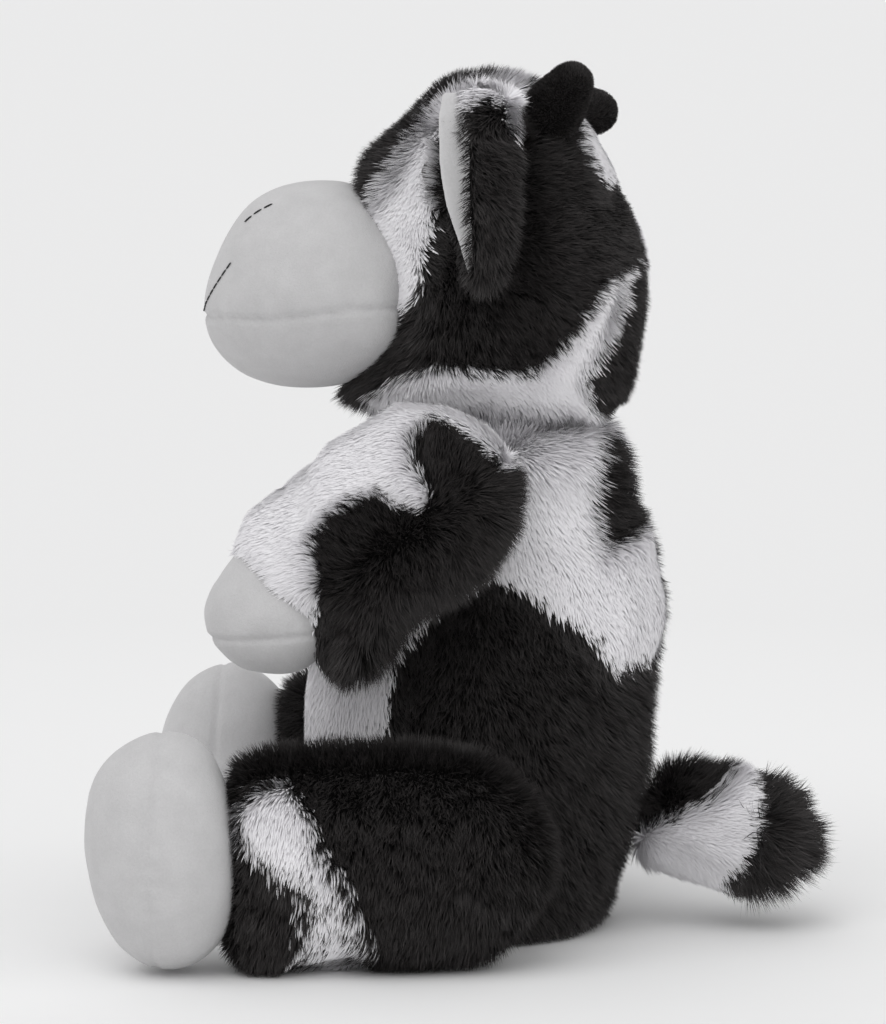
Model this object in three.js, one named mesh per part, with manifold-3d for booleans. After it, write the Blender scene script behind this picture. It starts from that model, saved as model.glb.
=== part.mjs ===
// A sitting plush cow, in millimetres: +Z up, facing -Y, its own left side at +X.
// The origin is on the floor, in the middle of the flat seat.
// Fur and cloth are shells sewn edge to edge round cores of stuffing, open where the filling passes.
import * as THREE from 'three';
import { mergeVertices } from 'three/addons/utils/BufferGeometryUtils.js';
import Module from 'manifold-3d';

const wasm = await Module();
wasm.setup();
const rad = THREE.MathUtils.degToRad;

// Cloth, seams and clearances
const furThickness = 4; // backing cloth and the pile that lies on it
const clothThickness = 1.8; // short-pile cloth of the muzzle, feet and hooves
const fit = 0.4; // between pieces that touch
const seam = 0.4; // between two panels that are sewn edge to edge
const coreFit = 1.4; // between the cloth and the corners of the filling, which has fewer sides
const coreSides = 10;
const limbCoreSides = 8;
const overrun = 3; // how far a hole's cut runs past what it cuts
const weld = 0.01; // corners closer than this are one corner
const leastShare = 0.1; // what is left at least of a narrow ring's width when it is moved in
const floorFlat = 0.5; // how deep a soft round form is pressed flat by the floor

// Torso
const torsoHeight = 164;
const torsoHalfWidth = 53;
const torsoFront = 55;
const torsoBack = 66.5;
const torsoSides = 14;
const seatPanelHeight = 9;
// Rings up the torso: height, half width, reach to the front, reach to the back
const torsoShares = [
  [0, 0.72, 0.68, 0.615],
  [0.04, 0.88, 0.84, 0.7],
  [0.13, 0.98, 0.95, 0.8],
  [0.28, 1, 1, 0.885],
  [0.45, 0.985, 1, 0.95],
  [0.62, 0.91, 0.94, 1],
  [0.75, 0.83, 0.85, 0.93],
  [0.86, 0.75, 0.74, 0.87],
  [0.94, 0.65, 0.6, 0.81],
  [0.985, 0.5, 0.42, 0.69],
];
const torsoCrownShare = 0.1; // how far back of the origin the torso's top point is

// Bag of pellets that weighs the seat down
const beanBagHeight = 20;
const beanBagShare = 0.62; // of the torso's width and depth

// Neck
const neckRadius = 15;
const neckBack = 8; // the neck's axis behind the origin
const neckClearance = 1; // round the ball of stuffing that the head turns on
const neckSides = 10;
const neckRings = 4;
const headGap = 3; // between the torso's top and the head's lowest point

// Head
const headHeight = 115;
const headHalfWidth = 50;
const headFront = 42;
const headBack = 59.5;
const headSides = 14;
const headTaperShare = 0.13; // how much narrower the face is than the back of the head
const gussetHalfWidth = 14;
// Rings up the head: height, half width, reach to the front, reach to the back
const headShares = [
  [0.02, 0.5, 0.68, 0.74],
  [0.065, 0.72, 1, 0.9],
  [0.16, 0.88, 1.02, 0.94],
  [0.34, 0.99, 0.97, 0.985],
  [0.54, 1, 0.94, 0.965],
  [0.7, 0.92, 0.9, 0.795],
  [0.82, 0.76, 0.68, 0.67],
  [0.91, 0.56, 0.43, 0.52],
  [0.97, 0.33, 0.23, 0.333],
];
const headPoleShare = 0.13; // how far back the head's lowest and highest points are

// Muzzle
const muzzleLength = 78;
const muzzleHalfWidth = 45;
const muzzleHalfHeight = 34;
const muzzleRear = 10; // its rear end in front of the origin, inside the head
const muzzleRise = 40; // its axis above the head's lowest point
const muzzleSides = 14;
const muzzleSeamSlope = 0.089; // the seam between upper and lower muzzle rises to the back
const muzzleSeamShare = -0.2; // where the seam crosses the nose, of the half height
// Rings along the muzzle: length, half width, reach up, reach down
const muzzleShares = [
  [0.14, 0.92, 0.9, 0.76],
  [0.36, 1, 1.11, 0.86],
  [0.6, 0.95, 1.11, 0.9],
  [0.76, 0.84, 0.97, 0.84],
  [0.87, 0.66, 0.69, 0.7],
  [0.95, 0.43, 0.33, 0.49],
];

// Eyes: a dome with a shank, and a washer pressed on behind the cloth
const eyeRadius = 5;
const eyeDome = 3.6;
const eyeSeatInset = 1; // the dome's flat sits this deep in the fur
const shankRadius = 1.8;
const shankLength = 11;
const washerRadius = 5.5;
const washerThickness = 1.6;
const eyeSides = 10;
const eyeHeightShare = 0.641; // of the head's height
const eyeFront = 3; // in front of the origin
const eyeLeanAngle = 12; // degrees above level
const eyeTurnAngle = 8; // degrees towards the front
const eyeDomeAngles = [0, 25, 50, 72]; // degrees up the dome at which it has a ring

// Embroidery thread
const threadRadius = 0.5;
const threadSides = 5;
const nostrilOut = 19; // from the middle line
const nostrilReach = 70; // of its front end, from the origin
const nostrilLength = 6;
const mouthHalfWidth = 27.5;
const mouthDrop = 4.5; // where the smile's middle lies under the muzzle's axis
const mouthRise = 15.5; // from the smile's middle to its corners
const mouthSteps = 9; // on each side

// Ears: an outer leaf of fur and an inner leaf of cloth, folded so that the fold is at the back
const earFurThickness = 3;
const earClothThickness = 1.6;
const earBaseShare = 0.841; // height of the root on the head
const earRootDepth = 6.5;
const earRootOffset = 40;
const earArchHeight = 3.5; // from the root to the top of the bend
const earLength = 46.5; // from the root to the tip
const earSpreadWidth = 20;
const earTipOffset = 0.8;
const earWidth = 20.5;
const earFoldHalfWidth = 5.5; // half of the space between the two halves of the fold
const earFoldAngle = 100; // degrees from the fold to either edge
const earLineShares = [0.3, 0.75, 0.16, 0.58]; // out, out, down and down, along the middle line
const earFoldShare = 0.4; // of the width lies behind the middle line
const earNearShare = 1; // reach of the half that lies near the head
const earOuterShare = 0.52; // reach of the outer half
const earStations = 7;
const earAcross = 6;
// Shares of the full width and of the full opening along the ear
const earWidthShare = (s) => 0.62 + 0.5 * Math.sin(Math.PI * Math.min(1, 1.1 * s)) - 0.42 * s ** 4;
const earOpenShare = (s) => Math.min(1, 0.45 + 1.6 * s) * (1 - 0.5 * s * s);

// Horns
const hornLength = 22;
const hornRadius = 10.6;
const hornCloth = 2;
const hornSides = 10;
const hornSunk = 7; // of the root, inside the head's outline before it is cut
const hornOut = 23.5;
const hornBackward = 26;
const hornHeightShare = 0.856;
const hornSplayAngle = 22; // degrees outwards
const hornLeanAngles = { left: 35, right: 88 }; // degrees backwards: the right one flops
const hornShares = [
  [0, 1],
  [0.3, 0.98],
  [0.6, 0.85],
  [0.86, 0.64],
  [0.96, 0.42],
];

// Arms
const shoulderHeight = 143;
const shoulderForward = 4;
const armReachBack = 29;
const armLength = 62; // shoulder to the end of the sleeve
const armHalfWidth = 31;
const armHalfThickness = 20;
const armSunk = 2.5; // of that thickness is pressed flat against the torso
const armPitchAngles = { left: 33, right: 37 }; // degrees down from level
const armSideAngle = 12; // the torso's side there leans in by this
const armToeInAngle = 15; // degrees
const armSides = 10;
// Rings along the arm, from behind the shoulder to the sleeve's end: place, half width, half
// thickness, and how far it lies above the axis, of the half width
const armShares = [
  [0.03, 0.4, 0.45],
  [0.12, 0.78, 0.8],
  [0.28, 0.98, 0.98],
  [0.5, 1, 1],
  [0.74, 1, 0.97],
  [0.89, 0.83, 0.86, 0.14],
  [0.98, 0.47, 0.5, 0.3],
];
const hoofReach = 65; // shoulder to the middle of the hoof
const hoofDrop = 2;
const hoofHalfLength = 20.5;
const hoofHalfWidth = 21.3;
const hoofHalfThickness = 18;
const hoofSides = 10;
const hoofRings = 5;
const hoofSeamDrop = 9; // the seam of its underside below the middle

// Legs
const hipForward = 7;
const thighRadius = 36.8;
const legLength = 78; // hip to the end of the fur
const legHalfThickness = 22;
const legSunk = 2.5; // of that thickness is pressed flat against the torso
const legSides = 12;
const legSplayAngles = { left: 7, right: 7 }; // degrees outwards
// Rings along the leg, from behind the hip to inside the foot: place, half height, half thickness
const legShares = [
  [0.02, 0.31, 0.34],
  [0.08, 0.62, 0.65],
  [0.2, 0.91, 0.92],
  [0.4, 1, 1],
  [0.66, 0.99, 0.98],
  [0.84, 0.94, 0.92],
  [0.95, 0.72, 0.72],
];
const footReach = 85.4; // hip to the middle of the foot
const footHalfLength = 25;
const footHalfHeights = { left: 39.2, right: 36.8 };
const footHalfWidth = 28;
const footSides = 12;
const footRings = 6;
const soleSeam = 6; // in front of the foot's middle

// Tail
const tailRootRadius = 15.5;
const tailHeight = 38.5;
const tailLength = 30;
const tailHalfWidth = 19;
const tailPitchAngle = 17; // degrees down
const tailDomeAngles = [66, 42, 20]; // degrees round its root at which it has a ring
const tailSides = 10;
const tailHole = 8; // radius of the opening in its end, which the tuft is sewn over
// Rings along the tail from its root's middle: place, radius
const tailShares = [
  [0, 0.82],
  [0.25, 0.93],
  [0.55, 1],
  [0.8, 0.96],
  [0.95, 0.72],
];
const tuftLength = 17;
const tuftOverlap = 7; // of the tuft goes round the tail's end
const tuftLobes = 5;
const tuftLobeDepthShare = 0.16;
const tuftShares = [
  [0, 0.78],
  [0.25, 0.98],
  [0.5, 1],
  [0.78, 0.8],
  [0.95, 0.42],
];

// Colours
const black = 0x1c1b1c;
const white = 0xd8d6d8;
const cream = 0xcfcdcf;
const fill = 0xf2f2ee;

const X = new THREE.Vector3(1, 0, 0);
const Y = new THREE.Vector3(0, 1, 0);
const Z = new THREE.Vector3(0, 0, 1);
const at = (x, y, z) => new THREE.Vector3(x, y, z);
const along = (start, direction, distance) => start.clone().addScaledVector(direction, distance);

// Meshes and solids

function solidOf(geometry) {
  const bare = new THREE.BufferGeometry();
  bare.setAttribute('position', geometry.getAttribute('position').clone());
  if (geometry.index) bare.setIndex(geometry.index.clone());
  const merged = mergeVertices(bare, weld / 100);
  return new wasm.Manifold(new wasm.Mesh({
    numProp: 3,
    vertProperties: new Float32Array(merged.attributes.position.array),
    triVerts: new Uint32Array(merged.index.array),
  }));
}

function geometryOf(solid) {
  const mesh = solid.getMesh();
  const places = new Float32Array(mesh.numVert * 3);
  for (let i = 0; i < mesh.numVert; i++) {
    places.set(mesh.vertProperties.subarray(i * mesh.numProp, i * mesh.numProp + 3), i * 3);
  }
  const raw = new THREE.BufferGeometry();
  raw.setAttribute('position', new THREE.BufferAttribute(places, 3));
  raw.setIndex(new THREE.BufferAttribute(new Uint32Array(mesh.triVerts), 1));
  return welded(raw);
}

// Joins corners that a cut left closer together than the weld, and drops the faces this empties.
function welded(raw) {
  const geometry = mergeVertices(raw, weld);
  const corners = geometry.index.array;
  const kept = [];
  for (let i = 0; i < corners.length; i += 3) {
    const [a, b, c] = corners.subarray(i, i + 3);
    if (a !== b && b !== c && c !== a) kept.push(a, b, c);
  }
  geometry.setIndex(kept);
  geometry.computeVertexNormals();
  return geometry;
}

// A closed form through elliptical rings. Each ring is { middle, u, v }, with u x v along the form.
// start and end are the points that close it. A taper makes rings wider towards v than away from
// it, and lobes may flute them.
function loft({ start, rings, end, taperShare = 0 }, sides, lobes = () => 1) {
  const places = [];
  const push = (p) => places.push(p.x, p.y, p.z);
  push(start);
  for (const ring of rings) {
    for (let j = 0; j < sides; j++) {
      const turn = (j / sides) * 2 * Math.PI;
      const [c, s] = [Math.cos(turn), Math.sin(turn)];
      const share = lobes(turn);
      push(along(along(ring.middle, ring.u, share * c * (1 + taperShare * s)), ring.v, share * s));
    }
  }
  push(end);
  const faces = [];
  const place = (i, j) => 1 + i * sides + (j % sides);
  const last = 1 + rings.length * sides;
  for (let j = 0; j < sides; j++) {
    faces.push(0, place(0, j + 1), place(0, j));
    faces.push(last, place(rings.length - 1, j), place(rings.length - 1, j + 1));
    for (let i = 0; i + 1 < rings.length; i++) {
      faces.push(place(i, j), place(i, j + 1), place(i + 1, j));
      faces.push(place(i + 1, j), place(i, j + 1), place(i + 1, j + 1));
    }
  }
  const geometry = new THREE.BufferGeometry();
  geometry.setAttribute('position', new THREE.Float32BufferAttribute(places, 3));
  geometry.setIndex(faces);
  return solidOf(geometry);
}

// The same form with its surface moved in by depth, or out where depth is negative.
function inset({ start, rings, end, taperShare }, depth) {
  const axis = end.clone().sub(start);
  const length = axis.length();
  const unit = axis.clone().normalize();
  const middle = start.clone().add(end).multiplyScalar(0.5);
  const squeeze = (length - 2 * depth) / length;
  const move = (p) => {
    const offset = p.clone().sub(middle).dot(unit);
    return along(p, unit, offset * (squeeze - 1));
  };
  const shorten = (w) => w.clone().setLength(Math.max(w.length() - depth, leastShare * w.length()));
  return {
    start: move(start),
    end: move(end),
    taperShare,
    rings: rings.map((r) => ({ middle: move(r.middle), u: shorten(r.u), v: shorten(r.v) })),
  };
}

// What lies on the side of a plane that its normal points to.
const beyond = (solid, normal, distance) => solid.trimByPlane([normal.x, normal.y, normal.z], distance);
const before = (solid, normal, distance) => beyond(solid, normal.clone().negate(), -distance);
const aboveFloor = (solid) => beyond(solid, Z, 0);

// How far a solid reaches along a direction.
function reach(solid, direction) {
  const places = geometryOf(solid).getAttribute('position');
  let most = -Infinity;
  for (let i = 0; i < places.count; i++) {
    most = Math.max(most, new THREE.Vector3().fromBufferAttribute(places, i).dot(direction));
  }
  return most;
}

// Where a line from inside a solid leaves it, to within a part of the fit
function leaving(solid, inside, direction) {
  let near = 0;
  let far = reach(solid, direction) - inside.dot(direction) + fit;
  while (far - near > weld) {
    const middle = (near + far) / 2;
    const probe = rod(along(inside, direction, middle), along(inside, direction, middle + weld), weld, 4);
    if (solid.intersect(probe).volume() > 0) near = middle;
    else far = middle;
  }
  return along(inside, direction, near);
}

// A form whose rings are level, from a table of height, half width, front and back.
function levelForm(shares, { base, height, halfWidth, front, back, poleY, flatBottom, taperShare }) {
  const rings = shares.map(([h, w, f, b]) => ({
    middle: at(0, (b * back - f * front) / 2, base + h * height),
    u: at(w * halfWidth, 0, 0),
    v: at(0, (b * back + f * front) / 2, 0),
  }));
  const start = flatBottom ? rings[0].middle.clone() : at(0, poleY, base);
  return { start, rings, end: at(0, poleY, base + height), taperShare };
}

// A straight round-sectioned solid between two points.
function rod(from, to, radius, sides) {
  const axis = to.clone().sub(from).normalize();
  const u = Math.abs(axis.z) < 0.9 ? axis.clone().cross(Z) : axis.clone().cross(X);
  u.setLength(radius);
  const v = axis.clone().cross(u);
  return loft({
    start: from,
    end: to,
    rings: [{ middle: from, u, v }, { middle: to, u, v }],
  }, sides);
}

// An ellipsoid about one unit direction: half length along it, half sizes towards side and across.
function egg(middle, axis, side, halfLength, halfSide, halfAcross, ringCount) {
  const third = axis.clone().cross(side).normalize();
  const rings = [];
  for (let i = 1; i <= ringCount; i++) {
    const turn = (i / (ringCount + 1)) * Math.PI;
    rings.push({
      middle: along(middle, axis, -halfLength * Math.cos(turn)),
      u: side.clone().setLength(halfSide * Math.sin(turn)),
      v: third.clone().setLength(halfAcross * Math.sin(turn)),
    });
  }
  return { start: along(middle, axis, -halfLength), rings, end: along(middle, axis, halfLength) };
}

// The scene graph

const cow = new THREE.Group();
cow.name = 'plush_cow';

function finish(colour, roughness) {
  return new THREE.MeshStandardMaterial({ color: colour, roughness, metalness: 0 });
}
const blackFur = finish(black, 0.95);
const whiteFur = finish(white, 0.95);
const creamCloth = finish(cream, 0.85);
const filling = finish(fill, 0.95);
const whitePlastic = finish(fill, 0.5);
const shinyBlack = finish(black, 0.15);
const thread = finish(black, 0.6);

function add(name, solid, material) {
  const mesh = new THREE.Mesh(geometryOf(solid), material);
  mesh.name = name;
  cow.add(mesh);
}

// Torso: two side panels, a flat seat panel, stuffing and a bag of pellets

const torsoForm = levelForm(torsoShares, {
  base: 0,
  height: torsoHeight,
  halfWidth: torsoHalfWidth,
  front: torsoFront,
  back: torsoBack,
  poleY: torsoCrownShare * torsoBack,
  flatBottom: true,
});
const torso = loft(torsoForm, torsoSides);
const torsoCavity = loft(inset(torsoForm, furThickness), torsoSides);
const torsoCore = loft(inset(torsoForm, furThickness + coreFit), coreSides);
const neckHeight = torsoHeight + headGap / 2;
const neckMiddle = at(0, neckBack, neckHeight);

const neckSphere = (radius) => loft(egg(neckMiddle, Z, X, radius, radius, radius, neckRings), neckSides);
const neckBall = neckSphere(neckRadius);
const neckSocket = neckSphere(neckRadius + neckClearance);

function buildTorso() {
  const shell = torso.subtract(torsoCavity).subtract(neckSocket);
  const sides = beyond(shell, Z, seatPanelHeight + seam);
  add('torso_panel_left', beyond(sides, X, seam / 2), blackFur);
  add('torso_panel_right', before(sides, X, -seam / 2), blackFur);
  add('seat_panel', before(shell, Z, seatPanelHeight), blackFur);
  const bagTop = furThickness + fit + beanBagHeight;
  add('torso_stuffing', beyond(torsoCore, Z, bagTop + fit).subtract(neckSocket), filling);
  const bag = inset(torsoForm, furThickness + fit);
  for (const ring of bag.rings) {
    ring.u.multiplyScalar(beanBagShare);
    ring.v.multiplyScalar(beanBagShare);
  }
  add('bean_bag', before(loft(bag, torsoSides), Z, bagTop), filling);
}

// Head: side panels, a gusset over the crown, a chin panel, and the muzzle's two halves

const headBase = torsoHeight + headGap;
const headForm = levelForm(headShares, {
  base: headBase,
  height: headHeight,
  halfWidth: headHalfWidth,
  front: headFront,
  back: headBack,
  poleY: headPoleShare * headBack,
  flatBottom: false,
  taperShare: headTaperShare,
});
const head = loft(headForm, headSides);
const headAround = loft(inset(headForm, -fit), headSides);
const headCavity = loft(inset(headForm, furThickness), headSides);
const headCore = loft(inset(headForm, furThickness + coreFit), coreSides);

const muzzleAxisHeight = headBase + muzzleRise;
function muzzleRing([s, w, up, down]) {
  return {
    middle: at(0, -muzzleRear - s * muzzleLength, muzzleAxisHeight + ((up - down) / 2) * muzzleHalfHeight),
    u: at(w * muzzleHalfWidth, 0, 0),
    v: at(0, 0, ((up + down) / 2) * muzzleHalfHeight),
  };
}
const muzzleForm = {
  start: at(0, -muzzleRear, muzzleAxisHeight),
  rings: muzzleShares.map(muzzleRing),
  end: at(0, -muzzleRear - muzzleLength, muzzleAxisHeight + muzzleSeamShare * muzzleHalfHeight),
};
const muzzle = loft(muzzleForm, muzzleSides);
const muzzleCavity = loft(inset(muzzleForm, clothThickness), muzzleSides);
const muzzleCore = loft(inset(muzzleForm, clothThickness + coreFit), coreSides);

// Where the eye's shank goes through the head's side: the dome's flat lies a little in the fur.
const eyeHeight = headBase + eyeHeightShare * headHeight;
function eyeLine(side) {
  const direction = at(
    side * Math.cos(rad(eyeLeanAngle)) * Math.cos(rad(eyeTurnAngle)),
    -Math.cos(rad(eyeLeanAngle)) * Math.sin(rad(eyeTurnAngle)),
    Math.sin(rad(eyeLeanAngle)),
  );
  const skin = leaving(head, at(0, -eyeFront, eyeHeight), direction);
  return { direction, flat: along(skin, direction, -eyeSeatInset) };
}
const eyeLines = { left: eyeLine(1), right: eyeLine(-1) };

function eyeSolid({ direction, flat }) {
  const u = direction.clone().cross(Z).setLength(1);
  const v = direction.clone().cross(u);
  const ring = (distance, radius) => ({
    middle: along(flat, direction, distance),
    u: u.clone().setLength(radius),
    v: v.clone().setLength(radius),
  });
  const dome = eyeDomeAngles.map((turn) => ring(
    eyeDome * Math.sin(rad(turn)), eyeRadius * Math.cos(rad(turn)),
  ));
  return loft({
    start: along(flat, direction, -shankLength),
    rings: [ring(-shankLength, shankRadius), ring(-fit, shankRadius), ring(-fit, eyeRadius), ...dome],
    end: along(flat, direction, eyeDome),
  }, eyeSides);
}

// The washer's middle: just inside the head's cloth
function washerSpan({ direction, flat }) {
  const outer = along(flat, direction, -(furThickness + fit));
  return { outer, inner: along(outer, direction, -washerThickness) };
}

function buildHead() {
  let shell = head.subtract(headCavity).subtract(muzzleCavity).subtract(neckSocket);
  let core = headCore.add(muzzleCore).subtract(neckSocket);
  for (const side of ['left', 'right']) {
    const line = eyeLines[side];
    const { direction, flat } = line;
    const back = along(flat, direction, -shankLength - fit);
    const front = along(flat, direction, eyeDome);
    const shankRoom = rod(back, front, shankRadius + fit, eyeSides);
    const domeRoom = rod(along(flat, direction, -2 * fit), front, eyeRadius + fit, eyeSides);
    shell = shell.subtract(shankRoom).subtract(domeRoom);
    const { outer, inner } = washerSpan(line);
    const washerRoom = rod(along(inner, direction, -fit), along(outer, direction, fit),
      washerRadius + fit, eyeSides);
    core = core.subtract(shankRoom).subtract(washerRoom);
    shell = shell.subtract(washerRoom);
    add(`eye_${side}`, eyeSolid(line), shinyBlack);
    const washer = rod(inner, outer, washerRadius, eyeSides)
      .subtract(rod(along(inner, direction, -overrun), along(outer, direction, overrun),
        shankRadius + fit / 2, eyeSides));
    add(`eye_washer_${side}`, washer, whitePlastic);
  }
  add('head_panel_left', beyond(shell, X, gussetHalfWidth + seam / 2), blackFur);
  add('head_panel_right', before(shell, X, -gussetHalfWidth - seam / 2), blackFur);
  const strip = before(beyond(shell, X, -gussetHalfWidth + seam / 2), X, gussetHalfWidth - seam / 2);
  const lowFront = (gap) => before(before(strip, Z, muzzleAxisHeight + gap), Y, neckBack + gap);
  add('crown_gusset', strip.subtract(lowFront(seam)), blackFur);
  add('chin_panel', lowFront(0), blackFur);
  add('head_stuffing', core, filling);

  const cap = muzzle.subtract(muzzleCavity).subtract(headAround);
  const seamNormal = at(0, -muzzleSeamSlope, 1).normalize();
  const seamDistance = muzzleForm.end.dot(seamNormal);
  add('muzzle_upper', beyond(cap, seamNormal, seamDistance + seam / 2), creamCloth);
  add('muzzle_lower', before(cap, seamNormal, seamDistance - seam / 2), creamCloth);
}

// Embroidery: one thread along the muzzle's surface through a few places on it.
// The muzzle's outline at one place along Y comes from its rings.
function muzzleAt(y) {
  const rings = [...muzzleForm.rings, { middle: muzzleForm.end, u: at(0, 0, 0), v: at(0, 0, 0) }];
  const index = rings.findIndex((r) => r.middle.y <= y);
  const after = rings[Math.max(index, 1)];
  const ahead = rings[Math.max(index, 1) - 1];
  const share = (ahead.middle.y - y) / (ahead.middle.y - after.middle.y);
  const mix = THREE.MathUtils.lerp;
  return {
    z: mix(ahead.middle.z, after.middle.z, share),
    halfWidth: mix(ahead.u.x, after.u.x, share),
    halfHeight: mix(ahead.v.z, after.v.z, share),
  };
}
const threadLift = threadRadius + fit;

function nostrilPlaces(side) {
  return [0, 0.5, 1].map((share) => {
    const y = -nostrilReach + share * nostrilLength;
    const ring = muzzleAt(y);
    const turn = Math.acos(Math.min(1, nostrilOut / ring.halfWidth));
    return at(side * nostrilOut, y, ring.z + ring.halfHeight * Math.sin(turn) + threadLift);
  });
}

// The smile: at each place across, the point of the muzzle's front at the smile's height
function mouthPlaces() {
  const places = [];
  for (let i = -mouthSteps; i <= mouthSteps; i++) {
    const across = (i / mouthSteps) * mouthHalfWidth;
    const height = muzzleAxisHeight - mouthDrop + mouthRise * Math.abs(across / mouthHalfWidth) ** 3;
    let front = muzzleForm.end.y;
    for (let y = front; y < -muzzleRear; y += fit) {
      const ring = muzzleAt(y);
      const rise = (height - ring.z) * ring.halfWidth / Math.max(ring.halfHeight, fit);
      front = y;
      if (Math.hypot(across, rise) <= ring.halfWidth + threadLift / 2) break;
    }
    places.push(at(across, front - threadLift, height));
  }
  return places;
}

function threadAlong(places) {
  const curve = new THREE.CatmullRomCurve3(places);
  const section = new THREE.Shape();
  for (let i = 0; i < threadSides; i++) {
    const turn = (i / threadSides) * 2 * Math.PI;
    const point = [threadRadius * Math.cos(turn), threadRadius * Math.sin(turn)];
    if (i === 0) section.moveTo(...point);
    else section.lineTo(...point);
  }
  const steps = places.length - 1;
  const tube = new THREE.ExtrudeGeometry(section, { steps, extrudePath: curve, bevelEnabled: false });
  return solidOf(tube);
}

function buildFace() {
  for (const [side, sign] of [['left', 1], ['right', -1]]) {
    add(`nostril_stitch_${side}`, threadAlong(nostrilPlaces(sign)), thread);
  }
  add('mouth_stitch', threadAlong(mouthPlaces()), thread);
}

// Ears

const earRootHeight = headBase + earBaseShare * headHeight;

// The middle line of the ear from root to tip, on the side where X is positive
const earTipX = earRootOffset + earSpreadWidth;
const earLine = new THREE.CatmullRomCurve3([
  at(earRootOffset, earRootDepth, earRootHeight),
  at(earRootOffset + earLineShares[0] * earSpreadWidth, earRootDepth, earRootHeight + earArchHeight),
  at(
    earRootOffset + earLineShares[1] * earSpreadWidth,
    earRootDepth,
    earRootHeight - earLineShares[2] * earLength,
  ),
  at(earTipX, earRootDepth - earTipOffset / 2, earRootHeight - earLineShares[3] * earLength),
  at(earTipX, earRootDepth - earTipOffset, earRootHeight - earLength),
]);

// One place on the folded leaf: s runs from the root to the tip, t from the front of the half that
// lies near the head, round the fold at the back, to the front of the outer half.
function earPlace(s, t, lift) {
  const middle = earLine.getPoint(s);
  const ahead = earLine.getTangent(s);
  const out = ahead.clone().cross(Y).normalize();
  if (s === 0) out.copy(X).negate().cross(Y).normalize();
  const width = earWidth * earWidthShare(s);
  const turn = t * rad(earFoldAngle);
  const reachShare = t < 0 ? earNearShare : earOuterShare;
  const forward = reachShare * width * (1 - Math.cos(turn)) / (1 - Math.cos(rad(earFoldAngle)));
  const open = earFoldHalfWidth * earOpenShare(s);
  return along(middle, out, open + (open + lift) * Math.sin(turn))
    .addScaledVector(Y, earFoldShare * width - forward + lift * Math.cos(turn));
}

// One leaf of the folded ear between two lifts from its middle surface
function earLeaf(sign, near, far) {
  const places = [];
  for (const lift of [far, near]) {
    for (let i = 0; i <= earStations; i++) {
      for (let j = 0; j <= earAcross; j++) {
        const p = earPlace(i / earStations, (j / earAcross) * 2 - 1, lift);
        places.push(sign * p.x, p.y, p.z);
      }
    }
  }
  const across = earAcross + 1;
  const count = (earStations + 1) * across;
  const faces = [];
  const quad = (a, b, c, d) => {
    if (sign > 0) faces.push(a, b, c, a, c, d);
    else faces.push(a, c, b, a, d, c);
  };
  for (let i = 0; i < earStations; i++) {
    for (let j = 0; j < earAcross; j++) {
      const a = i * across + j;
      quad(a, a + 1, a + across + 1, a + across);
      quad(count + a, count + a + across, count + a + across + 1, count + a + 1);
    }
    const first = i * across;
    const last = first + earAcross;
    quad(first, first + across, count + first + across, count + first);
    quad(last + across, last, count + last, count + last + across);
  }
  for (let j = 0; j < earAcross; j++) {
    const b = earStations * across + j;
    quad(j + 1, j, count + j, count + j + 1);
    quad(b, b + 1, count + b + 1, count + b);
  }
  const geometry = new THREE.BufferGeometry();
  geometry.setAttribute('position', new THREE.Float32BufferAttribute(places, 3));
  geometry.setIndex(faces);
  return solidOf(geometry);
}

function buildEars() {
  for (const [side, sign] of [['left', 1], ['right', -1]]) {
    add(`ear_outer_${side}`, earLeaf(sign, 0, earFurThickness).subtract(headAround), blackFur);
    add(`ear_inner_${side}`, earLeaf(sign, -fit - earClothThickness, -fit).subtract(headAround), whiteFur);
  }
}

// Horns

function buildHorns() {
  for (const [side, sign] of [['left', 1], ['right', -1]]) {
    const axis = at(
      sign * Math.sin(rad(hornSplayAngle)),
      Math.cos(rad(hornSplayAngle)) * Math.sin(rad(hornLeanAngles[side])),
      Math.cos(rad(hornSplayAngle)) * Math.cos(rad(hornLeanAngles[side])),
    );
    const root = at(sign * hornOut, hornBackward, headBase + hornHeightShare * headHeight);
    const u = axis.clone().cross(X).normalize();
    const v = axis.clone().cross(u);
    const whole = hornLength + hornSunk;
    const bottom = along(root, axis, -hornSunk);
    const form = {
      start: bottom,
      rings: hornShares.map(([s, r]) => ({
        middle: along(bottom, axis, s * whole),
        u: u.clone().setLength(r * hornRadius),
        v: v.clone().setLength(r * hornRadius),
      })),
      end: along(bottom, axis, whole),
    };
    const skin = loft(form, hornSides);
    const hollow = loft(inset(form, hornCloth), hornSides)
      .add(rod(along(bottom, axis, -hornSunk), along(bottom, axis, 2 * hornCloth),
        (hornShares[0][1] * hornRadius) - hornCloth, hornSides));
    const core = loft(inset(form, hornCloth + fit), hornSides);
    add(`horn_${side}`, skin.subtract(hollow).subtract(headAround), blackFur);
    add(`horn_stuffing_${side}`, core.subtract(headAround), filling);
  }
}

// Arms: the sleeve lies flat against the torso's side and turns on it

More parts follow.
